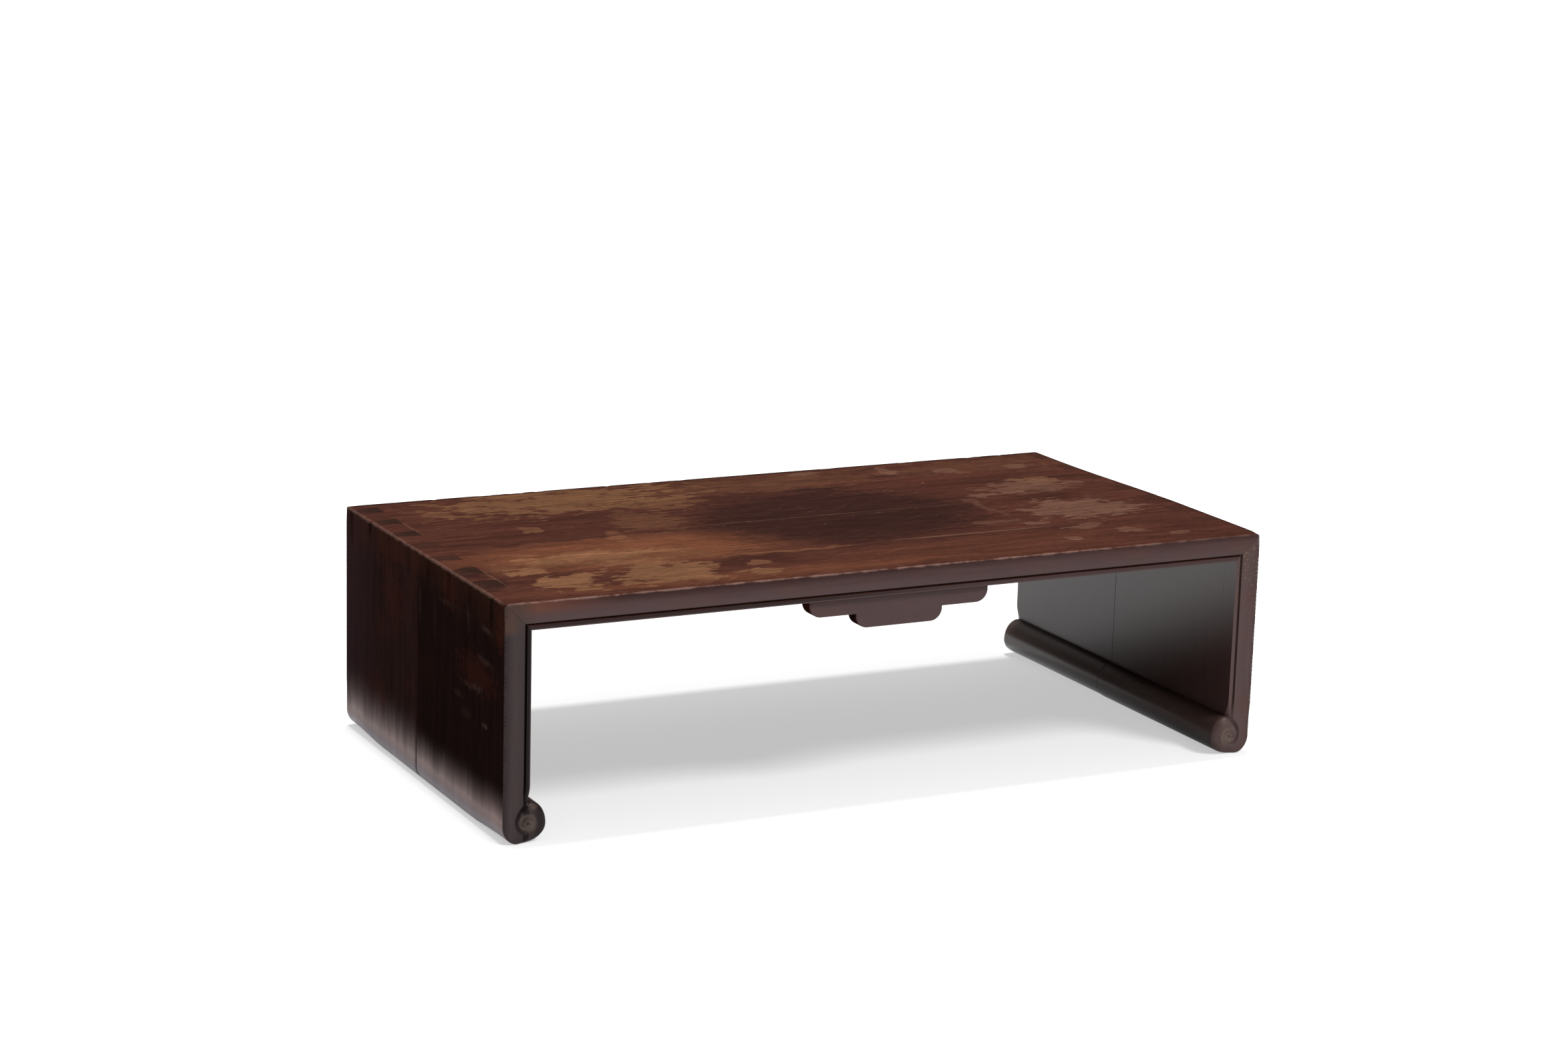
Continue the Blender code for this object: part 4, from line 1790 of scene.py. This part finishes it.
@dataclass
class TopBoard(Board):
    """Half of the top, with the moulded edge, the tails of the dovetails and a worn, nicked arris."""

    face: Face
    moulding: EdgeMoulding = EdgeMoulding()
    joint: Dovetails = Dovetails()
    wear: EndWear = EndWear()
    seam_gap: float = 0.01 * MM
    seam_bevel: float = 0.3 * MM
    nicks: int = 34
    nick_depth: float = 0.45 * MM
    nick_reach: float = 2.2 * MM
    edge_zone: float = 3.0 * MM

    def stations(self) -> np.ndarray:
        """Lists the X positions at which the section is drawn.

        Returns:
            Positions from left to right.
        """
        half = STOCK.length / 2
        quarter = 1 - np.cos(np.linspace(0, np.pi / 2, 9))
        light, deep = self.wear.slight, self.wear.heavy
        knocked = np.concatenate((light * quarter, (light + self.wear.knocked) * quarter))
        rounded = np.concatenate((light * quarter, deep * quarter))
        left = -half + np.unique(np.round(knocked, 7))
        right = half - np.unique(np.round(rounded, 7))[::-1]
        return np.concatenate((left, np.linspace(left[-1], right[0], 200)[1:-1], right))

    def section(self) -> tuple[np.ndarray, np.ndarray]:
        """Lists the section's corners as Y and distance below the top face.

        Returns:
            Points round the section, one row each, and the soiling and painted shade at each.
        """
        stops = self.moulding.stops()
        edge = self.face * (STOCK.depth / 2 - self.moulding.setback(stops))
        inner = STOCK.seam + self.face * self.seam_gap / 2
        bevel = self.face * self.seam_bevel
        thick = STOCK.thickness
        spread = np.linspace(inner + bevel, edge[0] - self.face * 6 * MM, 14)[1:]
        flat = [*spread, *(edge[0] - self.face * d * MM for d in (3, 1.2, 0.5, 0.2))]
        points = [(inner + bevel, thick), (inner, thick - self.seam_bevel)]
        points += [(inner, self.seam_bevel), (inner + bevel, 0)]
        points += [(y, 0) for y in flat]
        dirt_and_shade = [0.0] * len(points) + list(self.moulding.groove(stops)) + [0.0] * 3
        points += list(zip(edge, stops))
        points += [(edge[-1] - self.face * d * MM, thick) for d in (0.4, 2, 12)]
        return np.array(points), np.array(dirt_and_shade)

    def nicked(self) -> Callable[[float], float]:
        """Scatters small knocks along the front arris.

        Returns:
            Function that gives the depth of the knocks at an X position.
        """
        seed = np.random.default_rng(11 if self.face is Face.FRONT else 12)
        spots = seed.uniform(-STOCK.length / 2, STOCK.length / 2, self.nicks)
        widths = seed.uniform(0.8, 2.6, self.nicks) * MM
        depths = seed.uniform(0.2, 1.0, self.nicks) ** 2 * self.nick_depth
        return lambda x: float(np.max(depths * np.exp(-((x - spots) / widths) ** 2)))

    def blank(self) -> bpy.types.Object:
        """Sweeps the section along the board.

        Returns:
            The board before its joints are cut.
        """
        section, dirt_and_shade = self.section()
        y, depth = section[:, 0], section[:, 1]
        outer = STOCK.depth / 2 - np.abs(y)
        near = np.clip(1 - (outer + depth) / self.nick_reach, 0, 1)
        knock = self.nicked()
        xs = self.stations()
        verts = []
        for x in xs:
            side = Side.RIGHT if x > 0 else Side.LEFT
            end = STOCK.length / 2 - abs(x)
            drop = self.wear.drop(side, end, y)
            dent = knock(x) * near
            back = y - self.face * (dent + self.wear.corner(end, outer + depth))
            verts += list(zip([x] * len(y), back, STOCK.height - np.maximum(depth + dent, drop)))
        count, rings = len(section), len(xs)
        loops = [range(r * count, (r + 1) * count) for r in range(rings)]
        faces = [face for pair in zip(loops[:-1], loops[1:]) for face in band(*pair)]
        faces += [tuple(loops[0]), tuple(loops[-1])]
        return mesh_object(f"{self.node}_looks", verts, faces, {"dirt_and_shade": np.tile(dirt_and_shade, rings)})

    def build(self) -> bpy.types.Object:
        """Makes the board.

        Returns:
            The finished piece.
        """
        piece = self.blank()
        for side in Side:
            carve(piece, self.joint.pin_sockets(side))
            carve(piece, self.joint.mitre(side, self.face, True))
        carve(piece, self.pin_holes("top_seam_pin"))
        carve(piece, self.pin_holes("front_peg" if self.face is Face.FRONT else "rear_peg"))
        middles, normals = self.faces_of(piece)
        zones = np.full(len(middles), int(Zone.END_GRAIN))
        zones[normals[:, 2] > 0.6] = Zone.SHOW
        near = STOCK.depth / 2 - np.abs(middles[:, 1]) < self.edge_zone
        zones[near & (normals[:, 2] <= 0.6) & (np.abs(normals[:, 0]) < 0.8)] = Zone.EDGE
        looks = self.finishes
        self.dress(piece, zones, (looks.top, looks.inner, looks.top_edge, looks.outer))
        return piece


@dataclass
class SideBoard(Board):
    """Half of a side, with its scroll foot, carved end, moulded edge and the pins of the dovetails."""

    side: Side
    face: Face
    lift: float = 0.0
    moulding: EdgeMoulding = EdgeMoulding()
    joint: Dovetails = Dovetails()
    foot: ScrollFoot = ScrollFoot()
    wear: EndWear = EndWear()
    seam_gap: float = 0.01 * MM
    seam_bevel: float = 0.3 * MM
    lift_reach: float = 30.0 * MM
    edge_zone: float = 4.4 * MM
    joint_zone: float = 8.0 * MM

    def placed(self, points: np.ndarray, y: np.ndarray) -> np.ndarray:
        """Turns section points into the frame, with the worn arris and the lifted foot.

        Args:
            points: Distance inward and height, one row each.
            y: Y of each point.

        Returns:
            Positions, one row each.
        """
        inward, up = points[:, 0], points[:, 1]
        up = up + self.lift * np.clip(1 - up / self.lift_reach, 0, 1)
        up = np.minimum(up, STOCK.height - self.wear.drop(self.side, inward, y))
        return np.column_stack((self.side * (STOCK.length / 2 - inward), y, up))

    def blank(self) -> bpy.types.Object:
        """Makes the carved end and extrudes the section to the seam.

        Returns:
            The board before its joints are cut.
        """
        outline = self.foot.section(0.0)
        count = len(outline)
        points, faces, ring = filled(outline, self.foot.samples(outline, self.moulding))
        back, dirt_and_shade, rub_and_painted_shine = self.foot.relief(points, outline, self.moulding)
        back = back + self.wear.corner(STOCK.height - points[:, 1], points[:, 0] + back)
        verts = list(self.placed(points, self.face * (STOCK.depth / 2 - back)))
        end = STOCK.seam + self.face * self.seam_gap / 2
        stops = [self.face * (STOCK.depth / 2 - d * MM) for d in (4.6, 8, 14, 26, 38, 50, 62, 74, 86)]
        stops += [end + self.face * self.seam_bevel, end]
        for level, y in enumerate(stops):
            section = self.foot.section(STOCK.depth / 2 - abs(y))
            drawn = offset_loop(section, self.seam_bevel) if level == len(stops) - 1 else section
            start = len(verts)
            verts += list(self.placed(drawn, np.full(count, y)))
            following = list(range(start, start + count))
            faces += band(ring, following)
            ring = following
        faces.append(tuple(ring))
        plain = np.zeros(len(verts) - len(points))
        marks = {"dirt_and_shade": np.concatenate((dirt_and_shade, plain)), "rub_and_painted_shine": np.concatenate((rub_and_painted_shine, plain))}
        return mesh_object(f"{self.node}_looks", verts, faces, marks)

    def build(self) -> bpy.types.Object:
        """Makes the board.

        Returns:
            The finished piece.
        """
        piece = self.blank()
        carve(piece, self.joint.tail_sockets(self.side))
        carve(piece, self.joint.mitre(self.side, self.face, False))
        word = "left" if self.side is Side.LEFT else "right"
        carve(piece, self.pin_holes(f"{word}_seam_pin"))
        middles, normals = self.faces_of(piece)
        outward = normals[:, 0] * self.side
        inward = STOCK.length / 2 - middles[:, 0] * self.side
        zones = np.where((outward > 0) | (inward < self.foot.foot_tuck), int(Zone.SHOW), int(Zone.INNER))
        near = STOCK.depth / 2 - middles[:, 1] * self.face < self.edge_zone
        zones[near & (np.abs(normals[:, 1]) > 0.35)] = Zone.EDGE
        zones[(middles[:, 2] > STOCK.height - self.joint_zone) & (normals[:, 2] > 0.5)] = Zone.END_GRAIN
        looks = self.finishes
        edge = looks.left_edge if self.side is Side.LEFT else looks.right_edge
        self.dress(piece, zones, (looks.outer, looks.inner, edge, looks.pin))
        return piece


@dataclass
class Pendant(Board):
    """The stepped pendant under an edge, its corners rounded over."""

    face: Face
    edge_r: float = 0.7 * MM
    edge_band: float = 1.5 * MM
    step_r: float = 6.2 * MM
    upper_drop: float = 8.0 * MM
    lower_half: float = 23.0 * MM

    def outline(self) -> np.ndarray:
        """Lists the outline, anticlockwise.

        Returns:
            Points as X and height, one row each.
        """
        low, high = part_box(self.node)
        half, r = high.x, self.step_r
        shelf = high.z - self.upper_drop
        right = [(self.lower_half - r, low.z)]
        right += arc((self.lower_half - r, low.z + r), (r, r), 270, 360, 16)[1:]
        right += [(self.lower_half, shelf)]
        right += [(x, shelf) for x in np.linspace(self.lower_half, half - r, 24)[1:]]
        right += arc((half - r, shelf + r), (r, r), 270, 360, 16)[1:]
        right += [(half, high.z)]
        top = [(x, high.z) for x in np.linspace(half, -half, 80)[1:-1]]
        left = [(-x, z) for x, z in reversed(right)]
        sole = [(x, low.z) for x in np.linspace(-self.lower_half + r, self.lower_half - r, 40)[1:-1]]
        return np.array(right + top + left + sole)

    def build(self) -> bpy.types.Object:
        """Makes the pendant.

        Returns:
            The finished piece.
        """
        low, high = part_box(self.node)
        front = low.y if self.face is Face.FRONT else high.y
        back = high.y if self.face is Face.FRONT else low.y
        outline = self.outline()
        count = len(outline)
        rims = [offset_loop(outline, d * self.edge_r) for d in (0.04, 0.13, 0.29, 0.5, 0.75, 1.0, 1.6)]
        extra = np.vstack(rims)
        extra = extra[inside(outline, extra)]
        extra = extra[distance_to(closed(outline), extra) > 0.02 * self.edge_r]
        points, faces, ring = filled(outline, extra)
        rim = distance_to(closed(outline), points)
        left = np.clip(self.edge_r - rim, 0, self.edge_r)
        set_back = self.edge_r - np.sqrt(self.edge_r ** 2 - left ** 2)
        verts = [(x, front - self.face * s, z) for (x, z), s in zip(points, set_back)]
        for y in (front - self.face * self.edge_band, back):
            start = len(verts)
            verts += [(x, y, z) for x, z in outline]
            following = list(range(start, start + count))
            faces += band(ring, following)
            ring = following
        faces.append(tuple(ring))
        piece = mesh_object(f"{self.node}_looks", verts, faces)
        carve(piece, self.pin_holes("front_peg" if self.face is Face.FRONT else "rear_peg"))
        _, normals = self.faces_of(piece)
        zones = np.where(normals[:, 1] * self.face > 0.3, int(Zone.EDGE), int(Zone.INNER))
        looks = self.finishes
        self.dress(piece, zones, (looks.outer, looks.outer, looks.top_edge, looks.outer))
        return piece


@dataclass(frozen=True)
class Studio:
    """Camera, lamps and a white floor with the stand's own soft shadow."""

    azimuth: float = -27.0643
    elevation: float = 13.0294
    roll: float = 1.6408
    place: tuple[float, float, float] = (-0.7559, -1.4588, 0.4908)
    lens: float = 78.65
    key: float = 1.4
    key_size: float = 6.0
    key_from: tuple[float, float, float] = (0.0, 0.08, 1.0)
    fill: float = 1.4
    fill_size: float = 16.0
    fill_from: tuple[float, float, float] = (0.32, -0.557, 0.766)
    sky: float = 0.45
    horizon: float = 0.05
    floor_tint: float = 0.8
    floor_lift: float = 0.5

    def camera(self) -> None:
        """Makes the photo's camera."""
        a, e, r = (math.radians(v) for v in (self.azimuth, self.elevation, self.roll))
        back = Vector((math.sin(a) * math.cos(e), -math.cos(a) * math.cos(e), math.sin(e)))
        right = Vector((0, 0, 1)).cross(back).normalized()
        up = back.cross(right)
        turned = (math.cos(r) * right + math.sin(r) * up, -math.sin(r) * right + math.cos(r) * up, back)
        data = bpy.data.cameras.new("camera")
        data.lens = self.lens
        data.sensor_width = 36
        data.clip_end = 100
        camera = bpy.data.objects.new("camera", data)
        camera.matrix_world = Matrix.Translation(self.place) @ Matrix(turned).transposed().to_4x4()
        bpy.context.scene.collection.objects.link(camera)
        bpy.context.scene.camera = camera

    def lamp(self, name: str, strength: float, size: float, source: tuple[float, float, float]) -> None:
        """Makes a far, soft lamp.

        Args:
            name: Name of the lamp.
            strength: Light on a surface that faces it, in watts per square metre.
            size: Width of the light as seen from the stand, in degrees.
            source: Direction that the light comes from.
        """
        data = bpy.data.lights.new(name, "SUN")
        data.energy = strength
        data.angle = math.radians(size)
        lamp = bpy.data.objects.new(name, data)
        lamp.rotation_euler = Vector(source).to_track_quat("Z", "Y").to_euler()
        bpy.context.scene.collection.objects.link(lamp)

    def world(self) -> None:
        """Makes the room's light: bright overhead and dim near the horizon."""
        world = bpy.data.worlds.new("studio")
        bpy.context.scene.world = world
        world.use_nodes = True
        world.node_tree.nodes.clear()
        add = functools.partial(add_node, world.node_tree)
        ray = add("ShaderNodeTexCoord", output="Generated")
        up = add("ShaderNodeSeparateXYZ", {0: ray}, output="Z")
        level = add("ShaderNodeMapRange", {
            "Value": up, "From Min": 0.2, "From Max": 0.95, "To Min": self.horizon, "To Max": self.sky,
        }, interpolation_type="SMOOTHSTEP")
        glow = add("ShaderNodeBackground", {"Color": (1, 1, 1, 1), "Strength": level})
        add("ShaderNodeOutputWorld", {"Surface": glow})

    def floor(self) -> None:
        """Makes the white paper floor, lifted to white for the camera and for mirror images."""
        half = 30
        corners = [(-half, -half, 0), (half, -half, 0), (half, half, 0), (-half, half, 0)]
        floor = mesh_object("floor", corners, [(0, 1, 2, 3)])

        # Matt paper has no gloss: an even white that takes a soft shadow
        material = bpy.data.materials.new("white_paper_sweep")
        material.use_nodes = True
        material.node_tree.nodes.clear()
        add = functools.partial(add_node, material.node_tree)
        seen = add("ShaderNodeLightPath", output="Is Camera Ray")
        for other in ("Is Glossy Ray", "Is Transmission Ray"):
            mirror = add("ShaderNodeLightPath", output=other)
            seen = add("ShaderNodeMath", {0: seen, 1: mirror}, operation="MAXIMUM")
        lift = add("ShaderNodeMath", {0: seen, 1: self.floor_lift}, operation="MULTIPLY")
        tint = (self.floor_tint, self.floor_tint, self.floor_tint, 1)
        paper = add("ShaderNodeBsdfDiffuse", {"Color": tint})
        glow = add("ShaderNodeEmission", {"Color": (1, 1, 1, 1), "Strength": lift})
        surface = add("ShaderNodeAddShader", {0: paper, 1: glow})
        add("ShaderNodeOutputMaterial", {"Surface": surface})
        floor.data.materials.append(material)

    def build(self) -> None:
        """Sets up the whole studio."""
        bpy.context.scene.view_settings.view_transform = "Standard"
        self.camera()
        self.lamp("key_overhead", self.key, self.key_size, self.key_from)
        self.lamp("fill_front", self.fill, self.fill_size, self.fill_from)
        self.world()
        self.floor()


def main() -> None:
    """Builds the studio and the stand."""
    logging.basicConfig(level=logging.INFO, format="%(name)s %(message)s")
    Studio().build()
    finishes = Finishes()
    lifts = {"right_rear_board": 0.3 * MM}
    for face, word in ((Face.FRONT, "front"), (Face.REAR, "rear")):
        TopBoard(f"top_{word}_board", "top_hardwood", finishes, face).build()
        Pendant(f"{word}_pendant", "side_hardwood", finishes, face).build()
        for side, end in ((Side.LEFT, "left"), (Side.RIGHT, "right")):
            node = f"{end}_{word}_board"
            SideBoard(node, "side_hardwood", finishes, side, face, lifts.get(node, 0.0)).build()
    for name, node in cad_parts.items():
        if "_pin_" in name or "_peg_" in name:
            for slot in node.material_slots:
                slot.material = finishes.bamboo


if __name__ == "__main__":
    main()
